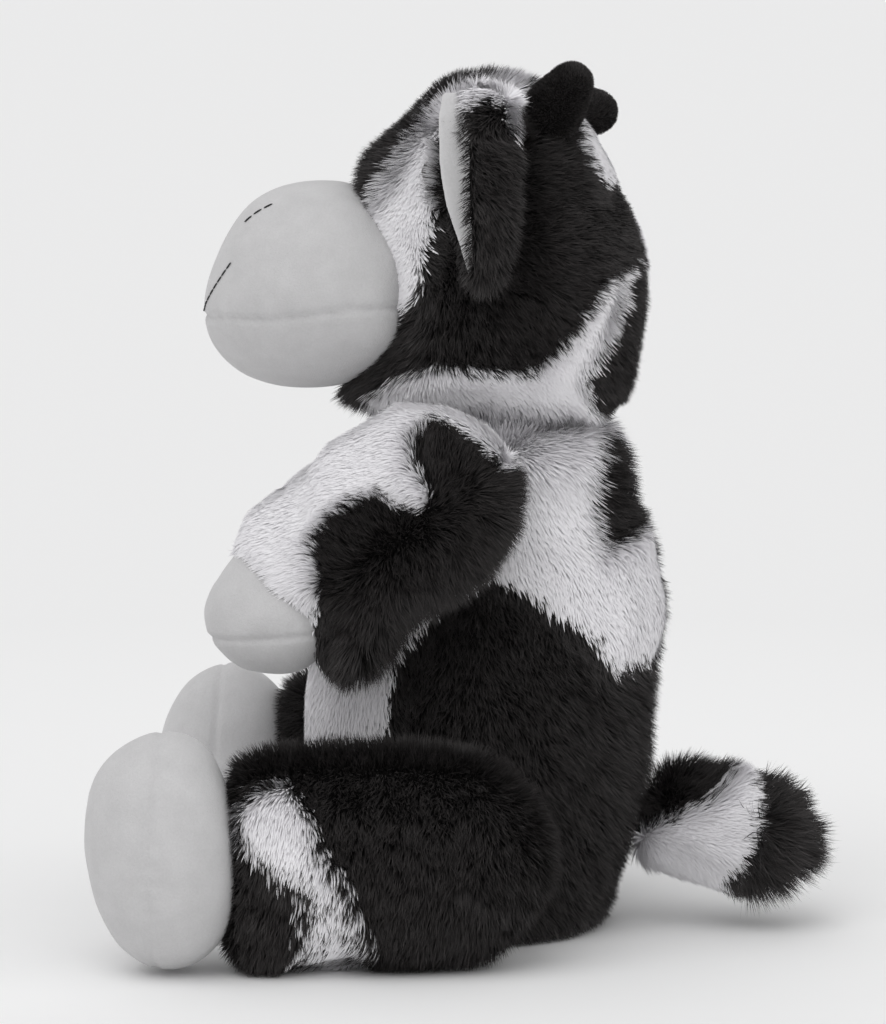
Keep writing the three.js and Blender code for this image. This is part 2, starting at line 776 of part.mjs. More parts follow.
// The plane that the arm lies on, its directions along and above the arm, and the shoulder on it
function armFrame(side, sign) {
  const normal = at(
    sign * Math.cos(rad(armSideAngle)) * Math.cos(rad(armToeInAngle)),
    -Math.cos(rad(armSideAngle)) * Math.sin(rad(armToeInAngle)),
    Math.sin(rad(armSideAngle)),
  );
  const planeDistance = reach(torso, normal) + fit;
  const level = Z.clone().cross(normal).normalize();
  if (level.y > 0) level.negate();
  const up = Z.clone().addScaledVector(normal, -normal.z).normalize();
  const pitch = rad(armPitchAngles[side]);
  const axis = level.clone().multiplyScalar(Math.cos(pitch)).addScaledVector(up, -Math.sin(pitch));
  const above = up.clone().multiplyScalar(Math.cos(pitch)).addScaledVector(level, Math.sin(pitch));
  const shoulder = at(0, -shoulderForward, shoulderHeight);
  shoulder.x = (planeDistance - normal.y * shoulder.y - normal.z * shoulder.z) / normal.x;
  return { normal, planeDistance, axis, above, shoulder };
}

function ringsAlong(shares, from, axis, length, wide, halfWide, thick, halfThick) {
  return {
    start: from.clone(),
    end: along(from, axis, length),
    rings: shares.map(([s, w, t, lift = 0]) => ({
      middle: along(along(from, axis, s * length), wide, lift * halfWide),
      u: wide.clone().setLength(w * halfWide),
      v: thick.clone().setLength(t * halfThick),
    })),
  };
}

// Keeps u x v along the form's axis, whichever side the limb is on.
function orient(form) {
  const axis = form.end.clone().sub(form.start);
  for (const ring of form.rings) {
    if (ring.u.clone().cross(ring.v).dot(axis) < 0) ring.v.negate();
  }
  return form;
}

const arms = {};
function buildArms() {
  for (const [side, sign] of [['left', 1], ['right', -1]]) {
    const frame = armFrame(side, sign);
    const { normal, planeDistance, axis, above, shoulder } = frame;
    arms[side] = frame;
    const middle = along(shoulder, normal, armHalfThickness - armSunk);
    const from = along(middle, axis, -armReachBack);
    const sleeve = orient(ringsAlong(armShares, from, axis, armReachBack + armLength,
      above, armHalfWidth, normal, armHalfThickness));
    const hoofMiddle = along(along(middle, axis, hoofReach), above, -hoofDrop);
    const hoofEgg = orient(egg(hoofMiddle, axis, above, hoofHalfLength, hoofHalfWidth,
      hoofHalfThickness, hoofRings));
    const clear = (solid) => beyond(solid, normal, planeDistance);
    const hoof = loft(hoofEgg, hoofSides);
    const hoofAround = loft(inset(hoofEgg, -fit), hoofSides);
    const hoofCavity = loft(inset(hoofEgg, clothThickness), hoofSides);
    const hoofCore = loft(inset(hoofEgg, clothThickness + coreFit), limbCoreSides);
    const sleeveSolid = loft(sleeve, armSides);
    const sleeveCavity = loft(inset(sleeve, furThickness), armSides);
    const sleeveCore = loft(inset(sleeve, furThickness + coreFit), limbCoreSides);
    add(`arm_${side}`, clear(sleeveSolid.subtract(sleeveCavity).subtract(hoofAround)), blackFur);
    const glove = clear(hoof.subtract(hoofCavity).subtract(sleeveCavity));
    const seamDistance = hoofMiddle.dot(above) - hoofSeamDrop;
    add(`hoof_${side}`, beyond(glove, above, seamDistance + seam / 2), creamCloth);
    add(`hoof_sole_${side}`, before(glove, above, seamDistance - seam / 2), creamCloth);
    add(`arm_stuffing_${side}`, clear(sleeveCore.add(hoofCore)), filling);
  }
}

// Legs: each lies flat against the torso's side and turns on it

const hipHeight = thighRadius - floorFlat;
const legs = {};
function legFrame(side, sign) {
  const normal = at(sign * Math.cos(rad(legSplayAngles[side])), Math.sin(rad(legSplayAngles[side])), 0);
  const planeDistance = reach(torso, normal) + fit;
  const axis = Z.clone().cross(normal).normalize();
  if (axis.y > 0) axis.negate();
  const hip = at(0, -hipForward, hipHeight);
  hip.x = (planeDistance - normal.y * hip.y) / normal.x;
  return { normal, planeDistance, axis, hip };
}

function buildLegs() {
  for (const [side, sign] of [['left', 1], ['right', -1]]) {
    const frame = legFrame(side, sign);
    const { normal, planeDistance, axis, hip } = frame;
    legs[side] = frame;
    const middle = along(hip, normal, legHalfThickness - legSunk);
    const from = along(middle, axis, -thighRadius);
    const trouser = orient(ringsAlong(legShares, from, axis, thighRadius + legLength,
      Z, thighRadius, normal, legHalfThickness));
    const footMiddle = along(middle, axis, footReach);
    footMiddle.z = footHalfHeights[side] - floorFlat;
    const footEgg = orient(egg(footMiddle, axis, Z, footHalfLength, footHalfHeights[side],
      footHalfWidth, footRings));
    const clear = (solid) => aboveFloor(beyond(solid, normal, planeDistance));
    const foot = loft(footEgg, footSides);
    const footAround = loft(inset(footEgg, -fit), footSides);
    const footCavity = loft(inset(footEgg, clothThickness), footSides);
    const footCore = loft(inset(footEgg, clothThickness + coreFit), limbCoreSides);
    const trouserSolid = loft(trouser, legSides);
    const trouserCavity = loft(inset(trouser, furThickness), legSides);
    const trouserCore = loft(inset(trouser, furThickness + coreFit), limbCoreSides);
    add(`leg_${side}`, clear(trouserSolid.subtract(trouserCavity).subtract(footAround)), blackFur);
    const boot = aboveFloor(foot.subtract(footCavity).subtract(trouserCavity));
    const seamDistance = footMiddle.dot(axis) + soleSeam;
    add(`foot_upper_${side}`, before(boot, axis, seamDistance - seam / 2), creamCloth);
    add(`foot_sole_${side}`, beyond(boot, axis, seamDistance + seam / 2), creamCloth);
    add(`leg_stuffing_${side}`, beyond(trouserCore, normal, planeDistance).add(footCore), filling);
  }
}

// Tail

function buildTail() {
  const axis = at(0, Math.cos(rad(tailPitchAngle)), -Math.sin(rad(tailPitchAngle)));
  const skinPoint = leaving(torso, at(0, 0, tailHeight), Y);
  const root = along(skinPoint, Y, tailRootRadius + fit);
  const v = X.clone();
  const u = v.clone().cross(axis).normalize().negate();
  const ringAt = (distance, radius) => ({
    middle: along(root, axis, distance),
    u: u.clone().setLength(radius),
    v: v.clone().setLength(radius),
  });
  const dome = tailDomeAngles.map((turn) => ringAt(
    -tailRootRadius * Math.sin(rad(turn)), tailRootRadius * Math.cos(rad(turn)),
  ));
  const form = orient({
    start: along(root, axis, -tailRootRadius),
    rings: [...dome, ...tailShares.map(([s, r]) => ringAt(s * tailLength, r * tailHalfWidth))],
    end: along(root, axis, tailLength),
  });
  const skin = loft(form, tailSides);
  const cavity = loft(inset(form, furThickness), tailSides);
  const core = loft(inset(form, furThickness + coreFit), limbCoreSides);
  const mouth = rod(along(root, axis, tailLength / 2), along(root, axis, tailLength + overrun),
    tailHole, tailSides);
  const tuftStart = tailLength - tuftOverlap;
  const tuftForm = orient({
    start: along(root, axis, tuftStart),
    rings: tuftShares.map(([s, r]) => ringAt(tuftStart + fit + s * (tuftLength + tuftOverlap - 2 * fit),
      r * tailHalfWidth)),
    end: along(root, axis, tailLength + tuftLength),
  });
  const lobes = (turn) => 1 - tuftLobeDepthShare * (1 + Math.cos(tuftLobes * turn)) / 2;
  const tailAround = loft(inset(form, -fit), tailSides);
  add('tail', aboveFloor(skin.subtract(cavity).subtract(mouth)), blackFur);
  add('tail_stuffing', core.subtract(loft(inset(tuftForm, -fit), tailSides).subtract(tailAround)), filling);
  add('tail_tuft', aboveFloor(loft(tuftForm, 2 * tailSides, lobes).subtract(tailAround)), blackFur);
  return root;
}

buildTorso();
add('neck_stuffing', neckBall, filling);
buildHead();
buildFace();
buildEars();
buildHorns();
buildArms();
buildLegs();
const tailPivot = buildTail();

// The points and directions that the head, limbs, ears and tail turn on
cow.userData = {
  neck: neckMiddle.toArray(),
  shoulders: Object.fromEntries(Object.entries(arms).map(([side, a]) => [
    side, { at: a.shoulder.toArray(), axis: a.normal.toArray() },
  ])),
  hips: Object.fromEntries(Object.entries(legs).map(([side, l]) => [
    side, { at: l.hip.toArray(), axis: l.normal.toArray() },
  ])),
  earRoot: [earRootOffset, earRootDepth, earRootHeight],
  tail: tailPivot.toArray(),
};

export default cow;
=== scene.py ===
"""A sitting plush cow in a black and white faux-fur coat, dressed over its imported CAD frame.

The work on vertices is in millimetres. The frame, the settings and Blender's own inputs are in metres.
"""
import math
from functools import partial, reduce

import bmesh
import bpy
import numpy as np
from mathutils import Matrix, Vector
from mathutils.bvhtree import BVHTree


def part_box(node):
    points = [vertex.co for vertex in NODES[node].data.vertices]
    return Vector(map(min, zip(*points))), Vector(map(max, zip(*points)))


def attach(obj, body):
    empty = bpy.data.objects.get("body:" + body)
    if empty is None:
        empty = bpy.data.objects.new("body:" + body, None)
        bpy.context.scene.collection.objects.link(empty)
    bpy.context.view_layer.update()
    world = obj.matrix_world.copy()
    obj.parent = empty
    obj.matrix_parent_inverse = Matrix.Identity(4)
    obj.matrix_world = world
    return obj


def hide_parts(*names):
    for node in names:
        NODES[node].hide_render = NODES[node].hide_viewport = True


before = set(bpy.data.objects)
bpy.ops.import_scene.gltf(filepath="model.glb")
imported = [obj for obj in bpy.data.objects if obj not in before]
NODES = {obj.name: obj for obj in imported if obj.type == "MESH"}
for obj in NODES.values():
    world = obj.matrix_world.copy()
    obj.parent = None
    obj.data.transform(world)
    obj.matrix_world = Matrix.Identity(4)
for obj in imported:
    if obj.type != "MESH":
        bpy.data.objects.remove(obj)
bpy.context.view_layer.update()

bl_info = {
    "name": "Plush Cow",
    "version": (1, 0, 0),
    "blender": (4, 5, 0),
    "location": "3D View > Sidebar > Plush Cow",
    "description": "Dresses a sitting plush cow in faux fur, smooth plush and embroidery",
    "category": "Object",
}

MM = 0.001
SIDES = {"left": 1, "right": -1}

# Where the cow is looked at from in the photograph
VIEW_AZIMUTH = math.radians(94)
VIEW_ELEVATION = math.radians(7)
VIEW_DISTANCE = 1500
VIEW_TARGET = Vector((0, -9 * MM, 136 * MM))

# The lamps: strength, then width, azimuth and elevation in degrees
LAMPS = {"key": (0.85, 50, 60, 62), "fill": (0.35, 70, 150, 40), "back": (0.25, 70, 280, 45),
         "front": (0.3, 70, 100, 10)}
SKY = (0.93, 0.93, 0.935, 1)
SKY_STRENGTH = 0.62

# Each pile: its strands, its seed, one more on the right, and its share of the set length
PILES = {
    "torso": (66000, 11, 1.0), "head": (52000, 21, 0.95), "crown": (20000, 23, 0.95), "ear": (15000, 31, 1.0),
    "horn": (16000, 41, 1.0), "sleeve": (52000, 51, 0.95), "leg": (58000, 61, 1.0), "tail": (26000, 71, 1.0),
    "tuft": (9000, 72, 1.0),
}

# White fur lies flatter than black, in wider and evener strands, and needs less room over the skin
WHITE_LEAN = 0.8
WHITE_WIDTH = 2.2
WHITE_ROUGHNESS = 0.15
WHITE_ROOM, BLACK_ROOM = 0.6, 4.4
DEEP_BLACK = 20.0

# Where the tone of a strand lies on its small map: one band for each colour of the coat
WHITE_BAND = (0.03, 0.46)
BLACK_BAND = (0.54, 0.97)
STRAND_MAP_WIDTH = 1 / 32

# How much the combed direction wanders, how far over the skin the patches are first read, and how far
# strands stay above the floor and stitches above the muzzle
SWIRL = 1.1
MID_PILE = 2.5
FLOOR_GAP = 0.2
STITCH_LIFT = 0.25

# How far the two colours mix where patches meet, and how far the left ones lap over the back
RAGGED_EDGE = 7.0
MIXED_EDGE = 2.0
WRAP = 10
NO_PATCH = -50.0

# The outlines of the coat's patches; white is laid over black. The left side's are measured right of
# and above the middle of what the photograph shows.
LEFT_BLACK = {
    "torso": (
        ((53, 25), (60, 26), (68, 24), (73, 4), (65, -7), (59, -11), (54, -13), (51, -8), (49, 2), (50, 12),
         (51, 20)),
        ((15, -21), (27, -26), (38, -33), (51, -42), (55, -51), (62, -49), (68, -47), (81, -45), (91, -94),
         (65, -160), (-34, -160), (-19, -73), (-16, -50), (-1, -29)),
    ),
    "head": (
        ((-1, 122), (-1, 115), (-3, 106), (-4, 92), (-8, 79), (-10, 70), (-19, 58), (-35, 46), (-40, 37),
         (-27, 33), (-16, 42), (-4, 46), (19, 45), (30, 45), (36, 50), (45, 60), (55, 74), (65, 82), (78, 92),
         (78, 110), (51, 122), (47, 131), (38, 145), (29, 140), (20, 132), (9, 129)),
        ((61, 82), (68, 86), (78, 63), (73, 24), (55, 28), (48, 35), (46, 45), (51, 51), (56, 61)),
        ((-37, 104), (-34, 119), (-27, 129), (-19, 137), (-9, 145), (-1, 150), (12, 153), (33, 151),
         (33, 144), (19, 143.5), (9, 141), (0, 136), (-6, 130), (-11, 123), (-15, 116), (-19, 109),
         (-23, 101), (-30, 98)),
    ),
    "arm": (
        ((-43, -16), (-44, -9), (-39, -2), (-30, 4), (-21, 7), (-16, 3), (-6, 1), (-5, 9), (-11, 16),
         (-10, 26), (-4, 31), (5, 28), (11, 23), (19, 15), (27, 16), (34, 4), (38, -29), (12, -68),
         (-32, -75), (-58, -70), (-45, -48), (-42, -32)),
    ),
    "leg": (((-150, -200), (-150, 60), (150, 60), (150, -200)),),
    "tail": (
        ((58, -73), (84, -73), (96, -83), (91, -91), (84, -97), (71, -102), (58, -104)),
        ((101, -80), (103, -94), (101, -106), (98, -114), (91, -120), (86, -140), (150, -140), (150, -75)),
    ),
    "ear": (((-200, -200), (-200, 200), (200, 200), (200, -200)),),
}
LEFT_WHITE = {
    "head": (((44, 134), (51, 137), (68, 134), (68, 114), (57, 108), (52, 108), (47, 120)),),
    "leg": (
        ((-70, -98), (-60, -90), (-51, -88), (-45, -97), (-40, -111), (-30, -124), (-21, -142), (-21, -160),
         (-57, -160), (-48, -135), (-47, -125), (-59, -117), (-67, -106)),
    ),
    "ear": (
        ((-20, 160), (-20, 133), (8, 132), (16, 135), (20, 132), (21, 126), (25, 121), (35, 120), (35, 160)),
    ),
}

# The patches on its right, which the photograph doesn't show: back and up, as seen from the side
RIGHT_BLACK = {
    "torso": (
        ((-34, 30), (-26, 56), (-14, 84), (4, 108), (24, 102), (40, 118), (90, 122), (90, -9), (-44, -9)),
        ((-12, 170), (4, 148), (20, 146), (26, 170)),
        ((38, 130), (46, 150), (60, 156), (80, 150), (80, 124), (52, 120)),
    ),
    "head": (
        ((-8, 262), (-14, 248), (-6, 232), (-12, 214), (-30, 196), (-60, 186), (-60, 160), (12, 160),
         (20, 186), (14, 208), (30, 226), (44, 244), (30, 264), (12, 268)),
        ((46, 214), (80, 224), (80, 160), (40, 160), (36, 190)),
        ((-70, 222), (-52, 252), (-40, 262), (-20, 292), (24, 292), (12, 279), (-2, 275), (-14, 266),
         (-24, 254), (-36, 240), (-44, 230)),
    ),
    "arm": (
        ((-34, 106), (-22, 122), (-4, 138), (16, 150), (40, 150), (60, 110), (20, 80), (-10, 84), (-30, 90)),
    ),
    "leg": (((-130, -20), (-130, 130), (90, 130), (90, -20)),),
    "tail": (
        ((50, 80), (76, 80), (88, 56), (83, 47), (76, 41), (63, 37), (50, 30)),
        ((98, 60), (99, 40), (97, 24), (88, 6), (130, 6), (130, 60)),
    ),
    "ear": (((-200, 0), (-200, 400), (200, 400), (200, 0)),),
}
RIGHT_WHITE = {
    "leg": (((-44, 80), (-20, 84), (-14, 60), (-30, 40), (-50, 44), (-52, 62)),),
    "ear": (((-20, 300), (-20, 256), (30, 262), (30, 300)),),
}


# Sizes and colours


def length_setting(name, description, default):
    return bpy.props.FloatProperty(name=name, description=description, default=default, unit="LENGTH")


def angle_setting(name, description, default):
    return bpy.props.FloatProperty(name=name, description=description, default=default, subtype="ANGLE")


def colour_setting(name, description, *default):
    return bpy.props.FloatVectorProperty(
        name=name, description=description, default=default, size=3, subtype="COLOR")


class CoatSettings(bpy.types.PropertyGroup):
    """The fur and the cloth"""
    pile_length: length_setting("Pile length", "Length of the coat's strands", 8.5 * MM)
    strand_width: length_setting("Strand width", "Width of a strand at its root", 0.33 * MM)
    clump_size: length_setting("Clump size", "Distance between the tips that strands gather in", 2.0 * MM)
    tuft_length: length_setting("Tuft length", "Length of the strands of the tail's tuft", 15 * MM)
    nap_length: length_setting("Horn nap", "Length of the horns' short pile", 1.5 * MM)
    cover: bpy.props.FloatProperty(
        name="Cover", description="Share of the full number of strands", default=1.0, min=0.05, max=1.0)
    black: colour_setting("Black fur", "Colour of the black fur", 0.0186, 0.0169, 0.0167)
    white: colour_setting("White fur", "Colour of the white fur", 0.90, 0.89, 0.91)
    plush: colour_setting("Smooth plush", "Colour of the muzzle, hooves, feet and ear lining",
                          0.565, 0.56, 0.565)


class FaceSettings(bpy.types.PropertyGroup):
    """The face's small pieces"""
    eye_colour: colour_setting("Eyes", "Colour of the plastic eyes", 0.008, 0.007, 0.007)
    thread_colour: colour_setting("Thread", "Colour of the embroidery thread", 0.012, 0.012, 0.013)
    thread_width: length_setting("Thread width", "Width of the embroidery thread", 0.5 * MM)
    stitch_length: length_setting("Stitch length", "Length of one stitch", 3.2 * MM)


class StageSettings(bpy.types.PropertyGroup):
    """The floor and the camera"""
    floor_colour: colour_setting("Floor", "Colour of the floor", 0.86, 0.86, 0.86)
    focal_length: bpy.props.FloatProperty(
        name="Focal length", description="The camera's lens, in millimetres", default=160.84)
    azimuth: angle_setting("Azimuth", "Where the camera stands round the cow", VIEW_AZIMUTH)
    elevation: angle_setting("Elevation", "How high the camera stands", VIEW_ELEVATION)
    distance: length_setting("Distance", "From the camera to the cow", VIEW_DISTANCE * MM)


def coat():
    return bpy.context.scene.cow_coat


def face():
    return bpy.context.scene.cow_face


# Meshes


def link(obj):
    bpy.context.scene.collection.objects.link(obj)
    return obj


def mesh_object(name, bm):
    mesh = bpy.data.meshes.new(name)
    bm.to_mesh(mesh)
    bm.free()
    return link(bpy.data.objects.new(name, mesh))


def form(name):
    """A form that an earlier operator made, to which other pieces are fitted."""
    return bpy.data.objects[name]


def settled(obj):
    """The object with its modifiers applied to its mesh."""
    bpy.context.view_layer.update()
    graph = bpy.context.evaluated_depsgraph_get()
    mesh = bpy.data.meshes.new_from_object(obj.evaluated_get(graph))
    obj.modifiers.clear()
    old = obj.data
    obj.data = mesh
    bpy.data.meshes.remove(old)
    mesh.name = obj.name
    return obj


def smoothed(obj, voxel, rounds):
    """Turns a closed faceted form into an even, rounded one."""
    remesh = obj.modifiers.new("Even faces", "REMESH")
    remesh.mode = "VOXEL"
    remesh.voxel_size = voxel * MM
    smooth = obj.modifiers.new("Round", "SMOOTH")
    smooth.factor = 0.5
    smooth.iterations = rounds
    settled(obj)
    obj.data.shade_smooth()
    return obj


def hull_form(name, nodes, voxel, rounds):
    """One closed rounded form over all of these CAD nodes."""
    points = np.array([v.co for node in nodes for v in NODES[node].data.vertices], float)
    bm = bmesh.new()
    for point in np.unique(points.round(6), axis=0):
        bm.verts.new(point)
    made = bmesh.ops.convex_hull(bm, input=bm.verts)
    spare = {v for key in ("geom_interior", "geom_unused") for v in made[key]
             if isinstance(v, bmesh.types.BMVert)}
    bmesh.ops.delete(bm, geom=list(spare), context="VERTS")
    return smoothed(mesh_object(name, bm), voxel, rounds)


def rounded_form(name, nodes, coarse, rounds, voxel, puff):
    """A smooth stuffed form without facets: rounded in coarse faces, then filled out again."""
    skin = smoothed(hull_form(name, nodes, coarse, rounds), voxel, rounds=14)
    drawn_in(skin, -puff)
    return skin


def leaf_form(name, node, voxel, rounds):
    """A rounded copy of one CAD node that keeps its hollows."""
    bm = bmesh.new()
    bm.from_mesh(NODES[node].data)
    bmesh.ops.remove_doubles(bm, verts=bm.verts, dist=MM / 100)
    return smoothed(mesh_object(name, bm), voxel, rounds)


def read_out(items, key, size=1):
    values = np.empty(len(items) * size)
    items.foreach_get(key, values)
    return values.reshape(-1, size)


def places(obj):
    """Where the vertices lie, in millimetres."""
    return read_out(obj.data.vertices, "co", 3) / MM


def normals(obj):
    return read_out(obj.data.vertex_normals, "vector", 3)


def move_to(obj, points):
    obj.data.vertices.foreach_set("co", (points * MM).ravel())
    obj.data.update()


def drawn_in(obj, depth):
    """Moves a skin inwards by one depth, or by one for each vertex."""
    move_to(obj, places(obj) - normals(obj) * np.reshape(depth, (-1, 1)))


def note(obj, name, values):
    """Stores a value for each vertex."""
    values = np.asarray(values, np.float32)
    kind, key = ("FLOAT_VECTOR", "vector") if values.ndim == 2 else ("FLOAT", "value")
    attribute = obj.data.attributes.get(name) or obj.data.attributes.new(name, kind, "POINT")
    attribute.data.foreach_set(key, values.ravel())


def box(node):
    """A CAD node's lowest and highest corner, in millimetres."""
    return [np.array(corner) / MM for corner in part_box(node)]


def unit(vectors):
    return vectors / np.maximum(np.linalg.norm(vectors, axis=-1, keepdims=True), 1e-9)


def ramp(values, low, high):
    """0 below low, 1 above high, smooth between them."""
    t = np.clip((values - low) / (high - low), 0, 1)
    return t * t * (3 - 2 * t)


def fade(values, low, high):
    """1 below low, 0 above high, smooth between them."""
    return ramp(-values, -high, -low)


def band(values, start, full, last, end):
    """0 outside start and end, 1 from full to last."""
    return ramp(values, start, full) * fade(values, last, end)


def blend(share, a, b):
    """From directions a to directions b, by a share for each vertex."""
    share = np.reshape(share, (-1, 1))
    return np.asarray(a) * (1 - share) + np.asarray(b) * share


def tree_of(obj):
    return BVHTree.FromPolygons([v.co for v in obj.data.vertices], [p.vertices for p in obj.data.polygons])


def depth_in(points, obj):
    """How deep points lie inside a closed form; negative outside."""
    tree = tree_of(obj)
    depth = np.empty(len(points))
    for i, point in enumerate(points * MM):
        near, normal, _, distance = tree.find_nearest(Vector(point))
        depth[i] = distance if (Vector(point) - near).dot(normal) < 0 else -distance
    return depth / MM


def seam_across(obj, way, depth, width, pucker, pitch, along):
    """Presses a seam into a skin: way is each vertex's distance from it, along its place on it."""
    groove = depth * np.exp(-(way / width) ** 2)
    folds = pucker * np.exp(-(way / (4.5 * width)) ** 2) * (
        np.sin(along / pitch * 2 * math.pi + 1.7 * np.sin(along / (3.1 * pitch)))
        * (0.6 + 0.4 * np.sin(along / (1.7 * pitch))))
    drawn_in(obj, groove + folds)


# Patches


def inside_by(points, outline):
    """How far points of a plane lie inside an outline; negative outside it."""
    ends = np.array(outline, float)
    nearest = np.full(len(points), np.inf)
    inside = np.zeros(len(points), bool)
    for p, q in zip(ends, np.roll(ends, -1, axis=0)):
        edge = q - p
        t = np.clip((points - p) @ edge / (edge @ edge), 0, 1)
        nearest = np.minimum(nearest, np.linalg.norm(points - p - t[:, None] * edge, axis=1))
        above = (p[1] > points[:, 1]) != (q[1] > points[:, 1])
        if p[1] != q[1]:
            inside ^= above & (points[:, 0] < p[0] + edge[0] * (points[:, 1] - p[1]) / edge[1])
    return np.where(inside, nearest, -nearest)


def view_axes(azimuth, elevation):
    """Directions to the right, up and back towards someone who looks at the cow."""
    back = Vector((math.sin(azimuth) * math.cos(elevation), -math.cos(azimuth) * math.cos(elevation),
                   math.sin(elevation)))
    right = Vector((0, 0, 1)).cross(back).normalized()
    return np.array(right), np.array(back.cross(right)), np.array(back)


def from_photo(points):
    """Where points appear in the photograph, right of and above its middle."""
    right, up, back = view_axes(VIEW_AZIMUTH, VIEW_ELEVATION)
    away = points - np.array(VIEW_TARGET) / MM
    gain = VIEW_DISTANCE / (VIEW_DISTANCE - away @ back)
    return np.stack([away @ right * gain, away @ up * gain], axis=1)


def patch_depth(points, left, right):
    """How deep points lie inside these patches of the coat; negative outside them."""
    depth = np.full(len(points), NO_PATCH)
    across, behind, seen = points[:, 0], points[:, 1:], from_photo(points)
    # The left side's patches end over the back in a wavy border
    over = across + WRAP + 4 * np.sin(behind[:, 1] / 9) + 3 * np.sin(behind.sum(1) / 5)
    for outline in left:
        depth = np.maximum(depth, np.minimum(inside_by(seen, outline), over))
    for outline in right:
        depth = np.maximum(depth, np.minimum(inside_by(behind, outline), -across))
    return depth


def coat_depth(points, part):
    """How deep points lie inside a part's black fur; negative in its white fur."""
    black = patch_depth(points, LEFT_BLACK[part], RIGHT_BLACK[part])
    white = patch_depth(points, LEFT_WHITE.get(part, ()), RIGHT_WHITE.get(part, ()))
    return np.minimum(black, -white)


# Materials


class Nodes:
    """Makes the nodes of a tree and joins them."""

    def __init__(self, tree):
        self.tree = tree

    def node(self, kind, *inputs, named=None, **settings):
        """A new node. An input is given a socket to read, a value, or None to leave it as it is."""
        made = self.tree.nodes.new(kind)
        for key, value in settings.items():
            setattr(made, key, value)
        for key, value in (*enumerate(inputs), *(named or {}).items()):
            if isinstance(value, bpy.types.NodeSocket):
                self.tree.links.new(value, made.inputs[key])
            elif value is not None:
                made.inputs[key].default_value = value
        return made

    def put(self, kind, *inputs, out=0, **settings):
        """The output of a new node."""
        return self.node(kind, *inputs, **settings).outputs[out]

    def number(self, operation, *inputs):
        return self.put("ShaderNodeMath", *inputs, operation=operation)

    def plus(self, a, b):
        return self.number("ADD", a, b)

    def times(self, a, b):
        return self.number("MULTIPLY", a, b)


class Shader(Nodes):
    """A material with one Principled shader and the maps that feed it."""

    def __init__(self, name, **values):
        self.material = bpy.data.materials.new(name)
        self.material.use_nodes = True
        super().__init__(self.material.node_tree)
        self.surface = self.tree.nodes["Principled BSDF"]
        for key, value in values.items():
            self.surface.inputs[key.replace("_", " ")].default_value = value

    def feed(self, name, socket):
        self.tree.links.new(socket, self.surface.inputs[name])

    def place(self):
        return self.put("ShaderNodeTexCoord", out="Object")

    def noise(self, size, detail=2.0, place=None):
        """Cloudy noise about 0.5, with lumps of that size."""
        return self.put("ShaderNodeTexNoise", named={
            "Vector": place or self.place(), "Scale": 1 / (size * MM), "Detail": detail})

    def remap(self, value, low, high, to_low, to_high):
        return self.put("ShaderNodeMapRange", value, low, high, to_low, to_high)

    def shade(self, tone, amount):
        """Gives the surface a tone times a grey amount."""
        self.feed("Base Color", self.put("ShaderNodeVectorMath", tone, amount, operation="MULTIPLY"))

    def bump(self, height, distance, strength=1.0):
        self.feed("Normal", self.put("ShaderNodeBump", named={
            "Strength": strength, "Distance": distance * MM, "Height": height}))


def rgba(tone, gain=1.0):
    return (*(gain * c for c in tone), 1.0)


def strand_material():
    """Strands read their own map: across it lies the strand's tone, up it the way from root to tip."""
    found = bpy.data.materials.get("fur strands")
    if found:
        return found
    s = Shader("fur strands", Roughness=0.62, Specular_IOR_Level=0.35)
    tone, along, _ = s.node("ShaderNodeSeparateXYZ", s.put("ShaderNodeUVMap", uv_map="OFBake")).outputs
    white, black = coat().white, coat().black
    tones = s.node("ShaderNodeValToRGB", tone)
    stops = tones.color_ramp.elements
    wanted = [(0.0, rgba(white, 0.97)), (0.25, rgba(white, 1.0)), (0.495, rgba(white, 1.02)),
              (0.505, rgba(black, 0.75)), (0.78, rgba(black, 1.0)), (1.0, rgba(black, 1.9))]
    while len(stops) < len(wanted):
        stops.new(0.5)
    for stop, (at, colour) in zip(stops, wanted):
        stop.position = at
        stop.color = colour
    # Painted shade darkens every strand towards its root, the black ones most, and a painted highlight
    # lightens the black strands towards their tips
    is_black = s.number("GREATER_THAN", tone, 0.5)
    s.shade(tones.outputs[0], s.put(
        "ShaderNodeMix", is_black, None, s.remap(along, 0.0, 0.9, 0.94, 1.02),
        s.remap(along, 0.1, 1.0, 0.45, 2.7), data_type="FLOAT"))
    return s.material


def backing_material():
    """The knitted backing under the pile, printed with the same patches."""
    found = bpy.data.materials.get("fur backing")
    if found:
        return found
    s = Shader("fur backing", Roughness=0.9, Specular_IOR_Level=0.2)
    depth = s.put("ShaderNodeAttribute", out="Fac", attribute_name="coat")
    ragged = s.plus(depth, s.remap(s.noise(3), 0.0, 1.0, -2.0, 2.0))
    share = s.remap(ragged, -0.8, 0.8, 0.0, 1.0)
    colour = s.put("ShaderNodeMix", data_type="RGBA", out=2, named={
        0: share, 6: rgba(coat().white, 0.95), 7: rgba(coat().black, 0.8)})
    s.shade(colour, s.remap(s.noise(1.2), 0.3, 0.7, 0.9, 1.05))
    s.bump(s.noise(0.8), 0.4)
    return s.material


def plush_material(name, gain=1.0, tone=None):
    """Smooth short plush: a fine nap brushed in soft clouds, with a little sheen."""
    found = bpy.data.materials.get(name)
    if found:
        return found
    s = Shader(name, Roughness=0.85, Specular_IOR_Level=0.15, Sheen_Weight=0.25, Sheen_Roughness=0.6)
    place = s.place()
    clouds = s.remap(s.noise(9, 3.0, place), 0.3, 0.7, 0.955, 1.035)
    nap = s.remap(s.noise(0.7, 3.0, place), 0.3, 0.7, 0.965, 1.03)
    s.shade(rgba(tone or coat().plush, gain)[:3], s.times(clouds, nap))
    s.bump(s.plus(s.noise(0.45, 2.0, place), s.noise(2.5, 2.0, place)), 0.22, 0.8)
    return s.material


